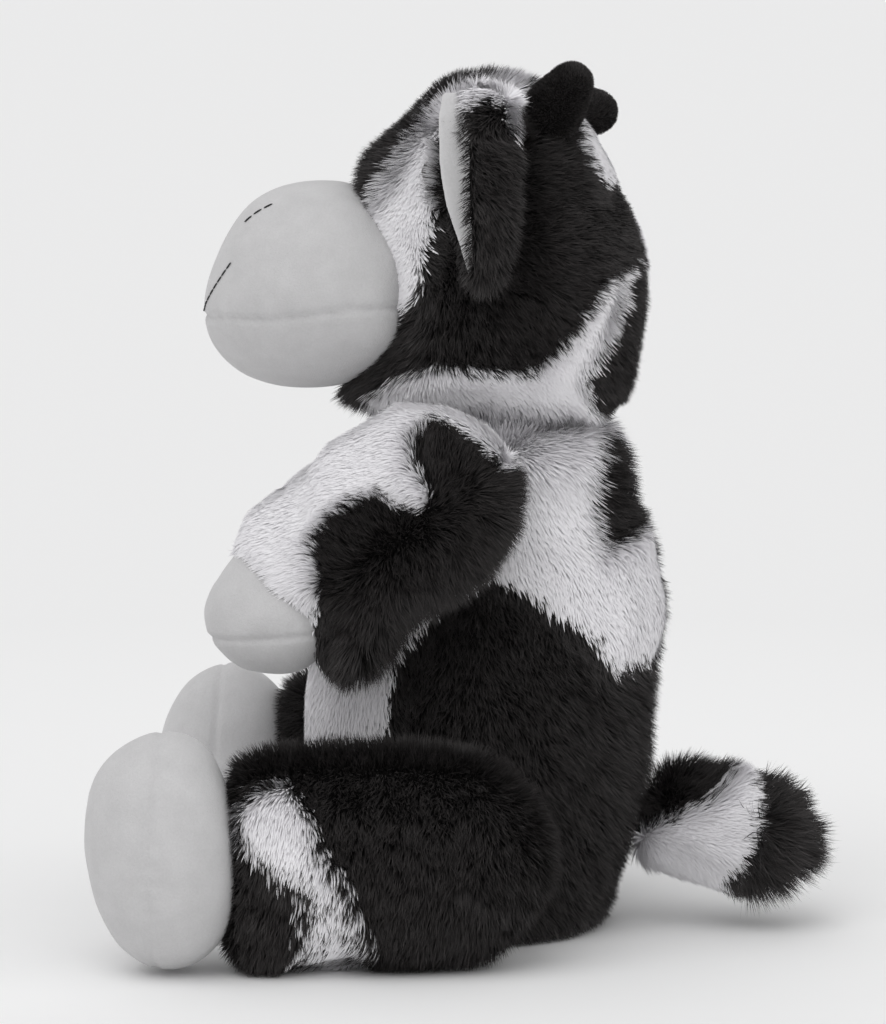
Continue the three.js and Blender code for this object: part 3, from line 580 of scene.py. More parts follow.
def plain_material(name, tone, roughness, specular, grain=0.0, varnish=0.0):
    """Plastic or thread with a faint change of tone and a fine grain."""
    found = bpy.data.materials.get(name)
    if found:
        return found
    s = Shader(name, Specular_IOR_Level=specular, Coat_Weight=varnish)
    place = s.place()
    s.shade(tuple(tone), s.remap(s.noise(2, 2.0, place), 0.3, 0.7, 0.85, 1.15))
    s.feed("Roughness", s.remap(s.noise(1.5, 2.0, place), 0.3, 0.7, roughness * 0.85, roughness * 1.15))
    if grain:
        s.bump(s.noise(0.4, 2.0, place), grain)
    return s.material


def dress(obj, material):
    obj.data.materials.clear()
    obj.data.materials.append(material)
    return obj


# Geometry Nodes


class Grower(Nodes):
    """A Geometry Nodes tree, from its named inputs to the material that it ends with."""

    def __init__(self, name, *sockets):
        super().__init__(bpy.data.node_groups.new(name, "GeometryNodeTree"))
        ends = (("Geometry", "Geometry"), ("Material", "Material"))
        for socket, kind in ends + sockets:
            self.tree.interface.new_socket(socket, in_out="INPUT", socket_type=f"NodeSocket{kind}")
        self.tree.interface.new_socket("Geometry", in_out="OUTPUT", socket_type="NodeSocketGeometry")
        self.given = self.tree.nodes.new("NodeGroupInput").outputs
        self.node("NodeGroupOutput", self.put("GeometryNodeSetMaterial", self.grow(), named={
            "Material": self.given["Material"]}))


def strand(segments):
    """One flat tapering strand, whose vertices know how far along and across it they lie."""
    name = f"strand of {segments}"
    found = bpy.data.objects.get(name)
    if found:
        return found
    bm = bmesh.new()
    along = bm.verts.layers.float.new("along")
    across = bm.verts.layers.float.new("across")
    rows = []
    for t in (i / segments for i in range(segments)):
        row = []
        for side in (-1, 1):
            v = bm.verts.new((side * MM / 10, t * MM, 0))
            v[along], v[across] = t, side * (1 - 0.75 * t * t)
            row.append(v)
        rows.append(row)
    tip = bm.verts.new((0, MM, 0))
    tip[along], tip[across] = 1, 0
    for low, high in zip(rows, rows[1:]):
        bm.faces.new((low[0], low[1], high[1], high[0]))
    bm.faces.new((rows[-1][0], rows[-1][1], tip))
    for f in bm.faces:
        f.smooth = True
    return mesh_object(name, bm)


class Pile(Grower):
    """Grows strands on a skin, as its vertices' cover, coat, comb and reach tell."""

    def __init__(self):
        super().__init__("Pile", ("Strand", "Object"), *((name, "Float") for name in (
            "Density", "Length", "Width", "Clump size", "Clump pull", "Wildness", "Swirl")), ("Seed", "Int"))

    def vector(self, operation, *inputs, out=0):
        return self.put("ShaderNodeVectorMath", *inputs, operation=operation, out=out)

    def scaled(self, vector, amount):
        return self.put("ShaderNodeVectorMath", vector, operation="SCALE", named={"Scale": amount})

    def total(self, *vectors):
        return reduce(partial(self.vector, "ADD"), vectors)

    def turned(self, first, second, angle):
        """The first direction turned towards the second."""
        return self.total(self.scaled(first, self.number("COSINE", angle)),
                          self.scaled(second, self.number("SINE", angle)))

    def read(self, name, kind="FLOAT"):
        return self.put("GeometryNodeInputNamedAttribute", name, data_type=kind)

    def keep(self, geometry, name, value, kind, domain="POINT"):
        return self.put("GeometryNodeStoreNamedAttribute", geometry, data_type=kind, domain=domain,
                        named={"Name": name, "Value": value})

    def random(self, low, high, step, kind="FLOAT"):
        """A value for each strand, from the seed and a step of its own."""
        slot = 2 if kind == "FLOAT" else 0
        return self.put("FunctionNodeRandomValue", data_type=kind, out=slot // 2, named={
            slot: low, slot + 1: high, "Seed": self.plus(self.given["Seed"], step)})

    def noise(self, root, scale, detail=1.0, out=0):
        return self.put("ShaderNodeTexNoise", out=out, named={
            "Vector": root, "Scale": scale, "Detail": detail})

    def gathered(self, root, up, size, shift):
        """From a root to the middle of its clump, along the skin."""
        cell = self.put("ShaderNodeTexVoronoi", out="Position", voronoi_dimensions="3D", feature="F1",
                        named={"Vector": self.vector("ADD", root, shift),
                               "Scale": self.number("DIVIDE", 1.0, size)})
        way = self.vector("SUBTRACT", self.vector("SUBTRACT", cell, shift), root)
        rise = self.vector("DOT_PRODUCT", way, up, out="Value")
        return self.vector("SUBTRACT", way, self.scaled(up, rise))

    def grow(self):
        given, put, read, random = self.given, self.put, self.read, self.random
        number, plus, times = self.number, self.plus, self.times
        vector, scaled, total = self.vector, self.scaled, self.total
        spread = self.node("GeometryNodeDistributePointsOnFaces", named={
            "Mesh": given["Geometry"], "Density": times(given["Density"], read("cover")),
            "Seed": given["Seed"]})
        root = put("GeometryNodeInputPosition")
        up = spread.outputs["Normal"]

        # Strands of the two colours mix where the patches meet; the white ones lie more evenly
        ragged = number("MULTIPLY_ADD", self.noise(root, 300.0, 2.0), RAGGED_EDGE, -RAGGED_EDGE / 2)
        edge = plus(plus(read("coat"), ragged), random(-MIXED_EDGE, MIXED_EDGE, 4))
        is_black = number("GREATER_THAN", edge, 0.0)
        rough = number("MULTIPLY_ADD", is_black, 1 - WHITE_ROUGHNESS, WHITE_ROUGHNESS)
        tone = put("GeometryNodeSwitch", is_black, random(*WHITE_BAND, 5), random(*BLACK_BAND, 5),
                   input_type="FLOAT")

        # The combed direction turns a little from place to place
        comb = read("comb", "FLOAT_VECTOR")
        lean = vector("LENGTH", comb, out="Value")
        turn = times(number("SUBTRACT", self.noise(root, 45.0), 0.5), given["Swirl"])
        flow = self.turned(comb, vector("CROSS_PRODUCT", up, comb), turn)
        stray = scaled(random((-1, -1, -1), (1, 1, 1), 1, "FLOAT_VECTOR"),
                       times(given["Wildness"], rough))
        waves = vector("SUBTRACT", self.noise(root, 160.0, out=1), (0.5, 0.5, 0.5))
        sway = scaled(waves, times(rough, 0.7))
        stand = number("MAXIMUM", number("SUBTRACT", 1.0, lean), 0.06)
        start = vector("NORMALIZE", total(
            scaled(up, times(stand, 1.7)), scaled(flow, 0.7), scaled(stray, 0.6)))
        end = vector("NORMALIZE", total(scaled(up, stand), flow, stray, sway))

        # Tips gather in small clumps, and these in wide ones
        near = self.gathered(root, up, given["Clump size"], (0.0, 0.0, 0.0))
        wide = self.gathered(root, up, times(given["Clump size"], 3.3), (0.5, 0.3, 0.7))
        pull = times(given["Clump pull"], rough)
        pull = total(scaled(near, pull), scaled(wide, times(pull, 0.4)))

        across = vector("NORMALIZE", vector("CROSS_PRODUCT", end, up))
        other = vector("NORMALIZE", vector("CROSS_PRODUCT", end, across))
        flat = self.turned(across, other, times(random(-0.8, 0.8, 2), rough))
        flat = scaled(flat, number("MULTIPLY_ADD", is_black, 1 - WHITE_WIDTH, WHITE_WIDTH))

        uneven = plus(0.85, times(self.noise(root, 260.0), 0.3))
        length = times(times(given["Length"], read("reach")), times(uneven, random(0.76, 1.06, 3)))

        points = spread.outputs["Points"]
        stored = {"s_root": root, "s_start": start, "s_end": end, "s_pull": pull, "s_flat": flat,
                  "s_length": length, "s_tone": tone}
        for name, value in stored.items():
            kind = "FLOAT" if name in ("s_length", "s_tone") else "FLOAT_VECTOR"
            points = self.keep(points, name, value, kind)
        shape = put("GeometryNodeObjectInfo", given["Strand"], out="Geometry")
        copies = put("GeometryNodeInstanceOnPoints", named={"Points": points, "Instance": shape})
        hairs = put("GeometryNodeRealizeInstances", copies)

        # Each copy is bent from its start's direction to its end's, and kept above the floor
        t = read("along")
        bent = times(times(t, t), 0.5)
        path = total(scaled(read("s_start", "FLOAT_VECTOR"), number("SUBTRACT", t, bent)),
                     scaled(read("s_end", "FLOAT_VECTOR"), bent))
        side = times(read("across"), times(given["Width"], 0.5))
        x, y, z = self.node("ShaderNodeSeparateXYZ", total(
            read("s_root", "FLOAT_VECTOR"), scaled(path, read("s_length")),
            scaled(read("s_pull", "FLOAT_VECTOR"), number("POWER", t, 1.5)),
            scaled(read("s_flat", "FLOAT_VECTOR"), side))).outputs
        place = put("ShaderNodeCombineXYZ", x, y, number("MAXIMUM", z, FLOOR_GAP * MM))
        hairs = put("GeometryNodeSetPosition", hairs, named={"Position": place})

        shift = times(read("across"), STRAND_MAP_WIDTH / 2)
        spot = put("ShaderNodeCombineXYZ", plus(read("s_tone"), shift), t, 0.0)
        hairs = self.keep(hairs, "OFBake", spot, "FLOAT2", "CORNER")
        for name in (*stored, "along", "across", "comb", "cover", "reach", "coat"):
            hairs = put("GeometryNodeRemoveAttribute", hairs, named={"Name": name})
        return hairs


class Stitches(Grower):
    """Lays stitches end to end along a line."""

    def __init__(self):
        super().__init__("Stitches", ("Stitch", "Object"), ("Stitch length", "Float"),
                         ("Thread width", "Float"))

    def grow(self):
        given = self.given
        path = self.put("GeometryNodeMeshToCurve", given["Geometry"])
        spread = self.node("GeometryNodeCurveToPoints", mode="LENGTH", named={
            "Curve": path, "Length": given["Stitch length"]})
        facing = self.put("FunctionNodeAlignRotationToVector", axis="Y", named={
            "Vector": spread.outputs["Tangent"]})
        shape = self.put("GeometryNodeObjectInfo", given["Stitch"], out="Geometry")
        size = self.put("ShaderNodeCombineXYZ", given["Thread width"], given["Stitch length"],
                        given["Thread width"])
        copies = self.put("GeometryNodeInstanceOnPoints", named={
            "Points": spread.outputs["Points"], "Instance": shape, "Rotation": facing, "Scale": size})
        return self.put("GeometryNodeRealizeInstances", copies)


def grown(obj, tree, **values):
    """Runs a tree on an object, its named inputs set by their sockets' identifiers, and keeps the mesh."""
    modifier = obj.modifiers.new(tree.__name__, "NODES")
    modifier.node_group = bpy.data.node_groups.get(tree.__name__) or tree().tree
    for socket in modifier.node_group.interface.items_tree:
        if socket.item_type == "SOCKET" and socket.in_out == "INPUT" and socket.name in values:
            modifier[socket.identifier] = values[socket.name]
    return settled(obj)


# Fur


def vertex_areas(obj):
    """The skin's area that each vertex stands for."""
    total = np.zeros(len(obj.data.vertices))
    for polygon, (area,) in zip(obj.data.polygons, read_out(obj.data.polygons, "area")):
        for v in polygon.vertices:
            total[v] += area / len(polygon.vertices)
    return total


def grow_pile(name, skin, body, cover, length=None, segments=2, width=None, clump=None, pull=0.5,
              wildness=0.22):
    """A panel's pile, spread over the part of the skin that cover gives."""
    part, _, side = name.partition("_pile")
    count, seed, share = PILES[part]
    pile = link(bpy.data.objects.new(name, skin.data.copy()))
    note(pile, "cover", cover)
    grown(pile, Pile, **{
        "Strand": strand(segments),
        "Material": strand_material(),
        "Density": int(count * coat().cover) / float((vertex_areas(skin) * cover).sum()),
        "Length": share * (length or coat().pile_length),
        "Width": width or coat().strand_width,
        "Clump size": clump or coat().clump_size,
        "Clump pull": pull,
        "Wildness": wildness,
        "Swirl": SWIRL,
        "Seed": seed + 1 if side == "_right" else seed,
    })
    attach(pile, body)
    return pile


def skin_of(obj, body, nodes, material=None):
    """Finishes a stuffed skin: its cloth, the body it rides on, and the CAD nodes it stands for."""
    dress(obj, material or backing_material())
    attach(obj, body)
    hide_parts(*nodes)


def smooth_skin_of(obj, body, nodes):
    skin_of(obj, body, nodes, plush_material("smooth plush"))


def combed(obj, direction, lean, firm=0.0):
    """Lays the pile along a direction: a lean of 0 is upright and 1 is flat.

    It stands up where the direction runs out of the skin, and there firm keeps it down.
    """
    up = normals(obj)
    way = np.broadcast_to(direction, up.shape)
    way = way - (way * up).sum(1, keepdims=True) * up
    hold = np.maximum(np.minimum(np.linalg.norm(way, axis=1) / 0.5, 1), firm)
    comb = unit(way) * (hold * lean)[:, None]
    note(obj, "comb", comb)
    return comb


def make_room(obj, part, share=1.0):
    """Draws a skin in to leave room for its pile, and tells how far each vertex is in the black fur."""
    dark = ramp(coat_depth(places(obj) + normals(obj) * MID_PILE, part), -5.0, 4.0)
    drawn_in(obj, (WHITE_ROOM + (BLACK_ROOM - WHITE_ROOM) * dark) * share)
    return dark


def lay_coat(obj, part, dark, way, lean, reach):
    """Combs the pile, flatter where it is white, and prints the patches as they show on its strands."""
    comb = combed(obj, way, lean + (WHITE_LEAN - lean) * (1 - dark), 1 - dark)
    rise = 1 - np.linalg.norm(comb, axis=1, keepdims=True)
    half = coat().pile_length / MM * np.reshape(reach, (-1, 1)) / 2
    depth = coat_depth(places(obj) + half * (comb + rise * normals(obj)), part)
    note(obj, "coat", depth)
    note(obj, "reach", reach)
    return depth


def lay_black(obj, way, lean, reach):
    """Combs a pile that is black all over."""
    note(obj, "coat", np.full(len(reach), DEEP_BLACK))
    note(obj, "reach", reach)
    combed(obj, way, lean)


def outside(points, obj, low=-1, high=1):
    """Where pile may grow beside another form: none deeper in it than high."""
    return fade(depth_in(points, obj), low, high)


# Operators


class COW_OT_stage(bpy.types.Operator):
    """Lay the floor, hang the lamps and set the camera"""
    bl_idname = "cow.stage"
    bl_label = "Stage"

    def execute(self, context):
        settings = context.scene.cow_stage
        bm = bmesh.new()
        bmesh.ops.create_grid(bm, x_segments=1, y_segments=1, size=60)
        floor = mesh_object("floor", bm)
        s = Shader("floor", Roughness=0.9, Specular_IOR_Level=0.1)
        # The floor is painted lighter near the cow, a painted pool of light over the shade that the cow casts
        # round itself
        away = s.put("ShaderNodeVectorMath", s.place(), (0.0, 0.0, 0.0), operation="DISTANCE", out=1)
        s.shade(tuple(settings.floor_colour), s.remap(away, 0.15, 0.7, 1.08, 1.0))
        dress(floor, s.material)

        world = bpy.data.worlds.new("studio")
        world.use_nodes = True
        background = world.node_tree.nodes["Background"]
        background.inputs["Color"].default_value = SKY
        background.inputs["Strength"].default_value = SKY_STRENGTH
        context.scene.world = world
        for name, (strength, width, azimuth, elevation) in LAMPS.items():
            lamp = bpy.data.lights.new(name, "SUN")
            lamp.energy = strength
            lamp.angle = math.radians(width)
            obj = link(bpy.data.objects.new(name, lamp))
            obj.rotation_euler = (math.radians(90 - elevation), 0, math.radians(azimuth))

        back = Vector(view_axes(settings.azimuth, settings.elevation)[2])
        camera = link(bpy.data.objects.new("camera", bpy.data.cameras.new("camera")))
        camera.data.lens = settings.focal_length
        camera.data.sensor_width = 36
        camera.data.clip_start = 0.05
        camera.data.clip_end = 200
        camera.location = VIEW_TARGET + back * settings.distance
        camera.rotation_euler = back.to_track_quat("Z", "Y").to_euler()
        context.scene.camera = camera
        context.scene.view_settings.view_transform = "Standard"
        return {"FINISHED"}


class COW_OT_torso(bpy.types.Operator):
    """Sew the torso and grow its pile"""
    bl_idname = "cow.torso"
    bl_label = "Torso"

    def execute(self, context):
        panels = ("torso_panel_left", "torso_panel_right", "seat_panel")
        skin = hull_form("torso_skin", panels, voxel=2.4, rounds=20)
        p = places(skin)
        x, y, z = p.T
        # The seat's rear edge rises, the back and the nape go in, and the shoulders rise and spread
        z += 4 * ramp(y, 25, 60) * fade(z, 0, 10)
        y -= 2.2 * ramp(y, 44, 60) * band(z, 52, 74, 96, 112)
        nape = ramp(y, 5, 28)
        y -= 2.5 * nape * ramp(z, 128, 142)
        z += 6 * (0.5 + 0.5 * nape) * ramp(z, 146, 160)
        shoulder = ramp(z, 132, 158) * ramp(y, -5, 12)
        x += np.sign(x) * 6 * shoulder * ramp(np.abs(x), 8, 20)
        move_to(skin, p)
        dark = make_room(skin, "torso", share=ramp(z, 1, 16))
        x, y, z = places(skin).T
        # Brushed down, and standing up round the neck
        neck = ramp(z, 140, 158) * (1 - 0.5 * ramp(y, 5, 35))
        reach = (0.75 + 0.25 * ramp(z, 10, 60)) * (0.5 + 0.5 * dark) + 0.5 * neck
        lay_coat(skin, "torso", np.maximum(dark, 0.6 * ramp(z, 149, 160)), (0, 0.35, -1),
                 0.45 - 0.35 * neck, reach)
        for name, side in SIDES.items():
            grow_pile(f"torso_pile_{name}", skin, "torso",
                      ramp(z, 1.2, 5) * ramp(side * x, -1, 1))
        skin_of(skin, "torso", panels + ("torso_stuffing", "bean_bag"))
        return {"FINISHED"}


class COW_OT_head(bpy.types.Operator):
    """Sew the head and grow its pile"""
    bl_idname = "cow.head"
    bl_label = "Head"

    def execute(self, context):
        panels = ("head_panel_left", "head_panel_right", "crown_gusset", "chin_panel")
        skin = hull_form("head_skin", panels, voxel=2.2, rounds=16)
        dark = make_room(skin, "head")
        p = places(skin)
        x, y, z = p.T
        muzzle = depth_in(p, form("muzzle_form"))
        beside = ramp(muzzle, -14, -3)
        front = fade(y, -30, 10)
        low = fade(z, 185, 225)
        chin = front * fade(z, 176, 192)
        crown = front * ramp(z, 218, 240)
        brow = front * band(z, 226, 240, 250, 262)
        under = fade(z, 172, 182) * (1 - front)
        reach = (0.52 + 0.48 * dark) * (1 - 0.18 * beside)
        reach *= (1 - 0.4 * crown - 0.15 * ramp(z, 255, 268)) * (1 - 0.2 * ramp(y, 15, 40))
        reach = np.maximum(reach, 1.5 * chin * dark) + 0.4 * brow * dark
        reach *= 1 - 0.3 * ramp(y, 36, 50) * ramp(z, 220, 228)
        reach = np.maximum(reach, 0.9 * under)
        # Brushed back over the head, down at the nape, and forwards beside the muzzle and the brow
        way = np.stack([0.35 * np.sign(x) * low, 0.9 - 1.2 * front * low, -0.35 - 0.8 * low], axis=1)
        way = blend(np.maximum(beside, crown), way, (0, -0.8, -0.6))
        lean = 0.45 - 0.1 * crown + 0.05 * beside
        dark = np.maximum(dark, under)
        clear = fade(muzzle, -0.6, 0.5) * outside(p, form("torso_skin"))
        for name in SIDES:
            # Long fur from behind the eye lies over it
            eye = form(f"safety_eye_{name}")
            middle = places(eye).mean(axis=0)
            away = np.linalg.norm(p - middle, axis=1)
            behind = fade(away, 10, 13) * ramp(y, middle[1] - 1, middle[1] + 2)
            reach = np.maximum(reach, 1.6 * behind)
            dark = np.maximum(dark, behind)
            way = blend(behind, way, (0, -1, 0))
            lean = lean * (1 - behind) + 0.6 * behind
            clear *= outside(p, eye, -0.5, 0.3)
        lay_coat(skin, "head", dark, way, lean * (1 - 0.75 * under), reach)
        gusset = fade(np.abs(x), 13.5, 15.5) * ramp(z, 200, 204)
        for name, side in SIDES.items():
            grow_pile(f"head_pile_{name}", skin, "head",
                      clear * ramp(side * x, -1, 1) * (1 - gusset))
        grow_pile("crown_pile", skin, "head", clear * gusset)
        skin_of(skin, "head", panels + ("head_stuffing",))
        return {"FINISHED"}


class COW_OT_muzzle(bpy.types.Operator):
    """Sew the smooth muzzle"""
    bl_idname = "cow.muzzle"
    bl_label = "Muzzle"

    def execute(self, context):
        nodes = ("muzzle_upper", "muzzle_lower")
        skin = rounded_form("muzzle_form", nodes, coarse=3.5, rounds=24, voxel=1.3, puff=0.9)
        x, y, z = places(skin).T
        drawn_in(skin, fade(y, -90, -70) * ramp(z, 205, 222))
        x, y, z = places(skin).T
        lip = 200.2 + 0.089 * (y + 88) + 0.5 * np.sin(y / 7.5)
        seam_across(skin, z - lip, depth=1.0, width=1.0, pucker=0.28, pitch=6.5, along=y + 0.6 * np.abs(x))
        x, y, z = places(skin).T
        side = ramp(np.abs(x), 20, 30) * band(z, 203, 206, 218, 226)
        seam_across(skin, y + 60, depth=0.4 * side, width=0.9, pucker=0, pitch=1, along=z)
        smooth_skin_of(skin, "head", nodes)
        return {"FINISHED"}


def stitch_shape():
    """One stitch of unit length and width, bowed up in its middle."""
    found = bpy.data.objects.get("one stitch")
    if found:
        return found
    bm = bmesh.new()
    sides, rings = 8, 7
    rows = []
    for i in range(rings):
        t = i / (rings - 1)
        swell = math.sqrt(max(1 - (2 * t - 1) ** 4, 0.0)) * 0.5 + 0.02
        rise = 0.1 * math.sin(math.pi * t)
        rows.append([bm.verts.new((swell * math.cos(a), (t - 0.5) * 1.06, rise + swell * math.sin(a)))
                     for a in (2 * math.pi * j / sides for j in range(sides))])
    for low, high in zip(rows, rows[1:]):
        for j in range(sides):
            k = (j + 1) % sides
            bm.faces.new((low[j], low[k], high[k], high[j]))
    bm.faces.new(rows[0][::-1])
    bm.faces.new(rows[-1])
    bmesh.ops.recalc_face_normals(bm, faces=bm.faces)
    for f in bm.faces:
        f.smooth = True
    return mesh_object("one stitch", bm)


def sewn_line(name, node, points, way):
    """A run of stitches on the muzzle's skin, where rays from these points along a way meet it, in metres."""
    tree = tree_of(form("muzzle_form"))
    bm = bmesh.new()
    row = []
    for point in points:
        near, normal, _, _ = tree.ray_cast(Vector(point) - Vector(way) * 20 * MM, Vector(way))
        row.append(bm.verts.new(near + normal * (STITCH_LIFT * MM)))
    for a, b in zip(row, row[1:]):
        bm.edges.new((a, b))
    line = grown(mesh_object(name, bm), Stitches, **{
        "Stitch": stitch_shape(),
        "Material": plain_material("embroidery thread", face().thread_colour, 0.5, 0.4, 0.05),
        "Stitch length": face().stitch_length,
        "Thread width": face().thread_width,
    })
    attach(line, "head")
    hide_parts(node)


class COW_OT_embroidery(bpy.types.Operator):
    """Stitch the nostrils and the smile"""
    bl_idname = "cow.embroidery"
    bl_label = "Embroidery"

    def execute(self, context):
        for name in SIDES:
            node = f"nostril_stitch_{name}"
            low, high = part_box(node)
            side = (low.x + high.x) / 2 * 1.1
            points = [(side, low.y * (1 - t) + high.y * t, low.z * (1 - t) + high.z * t)
                      for t in np.linspace(0, 1, 9)]
            sewn_line(f"nostril_{name}", node, points, (0, 0, -1))
        low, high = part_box("mouth_stitch")
        half = (high.x - low.x) / 2
        points = [(share * half, low.y, low.z + (high.z - low.z) * abs(share) ** 3)
                  for share in np.linspace(-1, 1, 41)]
        sewn_line("smile", "mouth_stitch", points, (0, 1, 0))
        return {"FINISHED"}


class COW_OT_eyes(bpy.types.Operator):
    """Set the plastic eyes"""
    bl_idname = "cow.eyes"
    bl_label = "Eyes"

    def execute(self, context):
        gloss = plain_material("eye plastic", face().eye_colour, 0.12, 0.6, varnish=0.6)
        matt = plain_material("washer plastic", (0.7, 0.7, 0.67), 0.5, 0.4, 0.03)
        for name in SIDES:
            eye = leaf_form(f"safety_eye_{name}", f"eye_{name}", voxel=0.45, rounds=10)
            dress(eye, gloss)
            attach(eye, "head")
            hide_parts(f"eye_{name}")
            dress(NODES[f"eye_washer_{name}"], matt)
        return {"FINISHED"}


def sew_ear(name, side):
    """An ear and its lining, which is drawn up at the front of its root."""
    body = f"ear_{name}"
    skin = leaf_form(f"ear_skin_{name}", f"ear_outer_{name}", voxel=0.8, rounds=8)
    lining = leaf_form(f"ear_lining_{name}", f"ear_inner_{name}", voxel=0.6, rounds=6)
    p = places(lining)
    x, y, z = p.T
    edge = ramp(z, 246, 262) * fade(y, -2, 1)
    z += 6 * edge
    x -= side * 2 * edge
    move_to(lining, p)
    drawn_in(skin, 1.5 * fade(depth_in(places(skin), lining), -2.6, -1.4))
    p = places(skin)
    x, y, z = p.T
    y += 3 * fade(z, 228, 252) * ramp(y, 4, 12)
    move_to(skin, p)
    low = fade(z, 212, 238)
    high = ramp(z, 254, 262)
    reach = (0.35 + 0.6 * ramp(y, 0, 9) + 0.15 * low) * (1 - high) + 0.8 * high
    # Brushed down and back, forwards at the tip and over the root
    way = blend(low, (0, 0.5, -1), (0, -0.3, -1))
    way = blend(ramp(z, 259, 265), way, (0, -0.8, -0.8))
    lay_coat(skin, "ear", 1 - 0.5 * high, way, 0.5, reach)
    clear = outside(p, lining, -1.0, -0.5) * (1 - band(z, 240, 246, 262, 266) * fade(y, -2, 1))
    grow_pile(f"ear_pile_{name}", skin, body, clear)
    skin_of(skin, body, (f"ear_outer_{name}",))
    skin_of(lining, body, (f"ear_inner_{name}",), plush_material("ear lining", 1.1))


class COW_OT_ears(bpy.types.Operator):
    """Sew the ears, line them and grow their pile"""
    bl_idname = "cow.ears"
    bl_label = "Ears"

    def execute(self, context):
        for name, side in SIDES.items():
            sew_ear(name, side)
        return {"FINISHED"}


class COW_OT_horns(bpy.types.Operator):
    """Sew the stub horns"""
    bl_idname = "cow.horns"
    bl_label = "Horns"

    def execute(self, context):
        for name in SIDES:
            skin = hull_form(f"horn_skin_{name}", (f"horn_{name}",), voxel=0.9, rounds=14)
            drawn_in(skin, 0.8)
            everywhere = np.ones(len(skin.data.vertices))
            lay_black(skin, (0, 0.3, 1), 0.35, everywhere)
            grow_pile(f"horn_pile_{name}", skin, "head", everywhere, coat().nap_length,
                      width=0.3 * MM, clump=1.1 * MM, pull=0.2, wildness=0.35)
            skin_of(skin, "head", (f"horn_{name}", f"horn_stuffing_{name}"))
        return {"FINISHED"}


def sew_hoof(name, nodes):
    """The smooth end of an arm, hollowed in front, full behind and sewn round above its sole."""
    hoof = rounded_form(f"hoof_skin_{name}", nodes, coarse=2.0, rounds=18, voxel=1.0, puff=0.8)
    (_, toe, bottom), (_, heel, top) = box(f"hoof_{name}")
    p = places(hoof)
    x, y, z = p.T
    off = (z - (bottom + top) / 2 + 7) / 14
    y += 1.8 * np.minimum(off * off, 1.2) * fade(y, toe + 2, toe + 14)
    hind = ramp(y, (toe + heel) / 2 - 2, heel - 2) * (1 - ramp(off, 0.2, 1.4))
    p += normals(hoof) * (3 * hind)[:, None]
    move_to(hoof, p)
    x, y, z = places(hoof).T
    sole = box(f"hoof_sole_{name}")[0][2]
    line = z - (sole + 13.5 + 0.083 * (y + 57))
    seam_across(hoof, line, depth=0.8, width=0.9, pucker=0.2, pitch=5, along=y + x)
    return hoof


def above_sleeve(y, z):
    """How far points lie above a sleeve's slanting middle line."""
    return z - (131 + 0.62 * (y + 20))


def sew_sleeve(name, side, hoof):
    """The fur sleeve of an arm, which hangs over its hoof."""
    skin = hull_form(f"sleeve_skin_{name}", (f"arm_{name}",), voxel=1.9, rounds=14)
    p = places(skin)
    x, y, z = p.T
    over = above_sleeve(y, z)
    upper = ramp(over, 4, 18)
    sunk = upper * band(y, -60, -46, -25, -8)
    if side > 0:
        near = ramp(y, -50, -40)
        sunk = (1.8 * (1 - near) * sunk - 3 * upper * near * fade(y, -20, -4)
                + 1.5 * upper * band(y, -72, -64, -56, -50))
    else:
        sunk = 4 * sunk
    # Its lower side hangs, and bulges forwards over the cuff
    hang = fade(over, -20, -2) * band(y, -72, -62, -34, -14)
    z -= 12 * hang + sunk
    y -= 6 * hang * fade(y, -44, -30)
    move_to(skin, p)
    dark = make_room(skin, "arm")
    p = places(skin)
    x, y, z = p.T
    covered = depth_in(p, hoof)
    over = above_sleeve(y, z)
    rise = ramp(over, -6, 14)
    cuff = ramp(covered, -12, -2)
    reach = (0.6 + 0.5 * dark) * (1 - 0.45 * cuff * (1 - rise)) + 0.35 * cuff * rise
    reach += 0.4 * fade(over, -26, -16)
    if side < 0:
        reach *= 1 - 0.4 * rise
    # Brushed outwards from the middle of the sleeve, along its white top and down at the cuff
    way = np.stack([0 * x, 1.1 * ramp(y, -45, 5) - 0.5, np.clip(over / 16, -1, 1)], axis=1)
    way = blend(rise * (1 - dark), way, (0, -1, -0.4))
    way = blend(cuff * (1 - rise), way, (0, 0.2, -1))
    lay_coat(skin, "arm", dark, way, 0.42, reach)
    grow_pile(f"sleeve_pile_{name}", skin, f"arm_{name}", fade(covered, -0.8, 0.3))
    skin_of(skin, f"arm_{name}", (f"arm_{name}", f"arm_stuffing_{name}"))


class COW_OT_arms(bpy.types.Operator):
    """Sew the arms and hooves and grow the sleeves' pile"""
    bl_idname = "cow.arms"
    bl_label = "Arms"

    def execute(self, context):
        for name, side in SIDES.items():
            nodes = (f"hoof_{name}", f"hoof_sole_{name}")
            hoof = sew_hoof(name, nodes)
            sew_sleeve(name, side, hoof)
            smooth_skin_of(hoof, f"arm_{name}", nodes)
        return {"FINISHED"}


def sew_foot(name, side, nodes):
    """The smooth end of a leg, with an upright seam behind its sole; the left one is a little fuller."""
    foot = rounded_form(f"foot_skin_{name}", nodes, coarse=3.0, rounds=20, voxel=1.2, puff=1.1)
    if side > 0:
        p = places(foot)
        x, y, z = p.T
        y -= 2.2 * band(z, 20, 58, 62, 76)
        corner = ramp(z, 52, 62) * fade(y, -106, -90)
        y -= 0.6 * corner
        z += 0.8 * corner
        move_to(foot, p)
    x, y, z = places(foot).T
    seam = box(f"foot_sole_{name}")[1][1] - 0.5 + 0.02 * z
    seam_across(foot, y - seam, depth=0.65, width=1.0, pucker=0.18, pitch=6, along=z + x)
    return foot


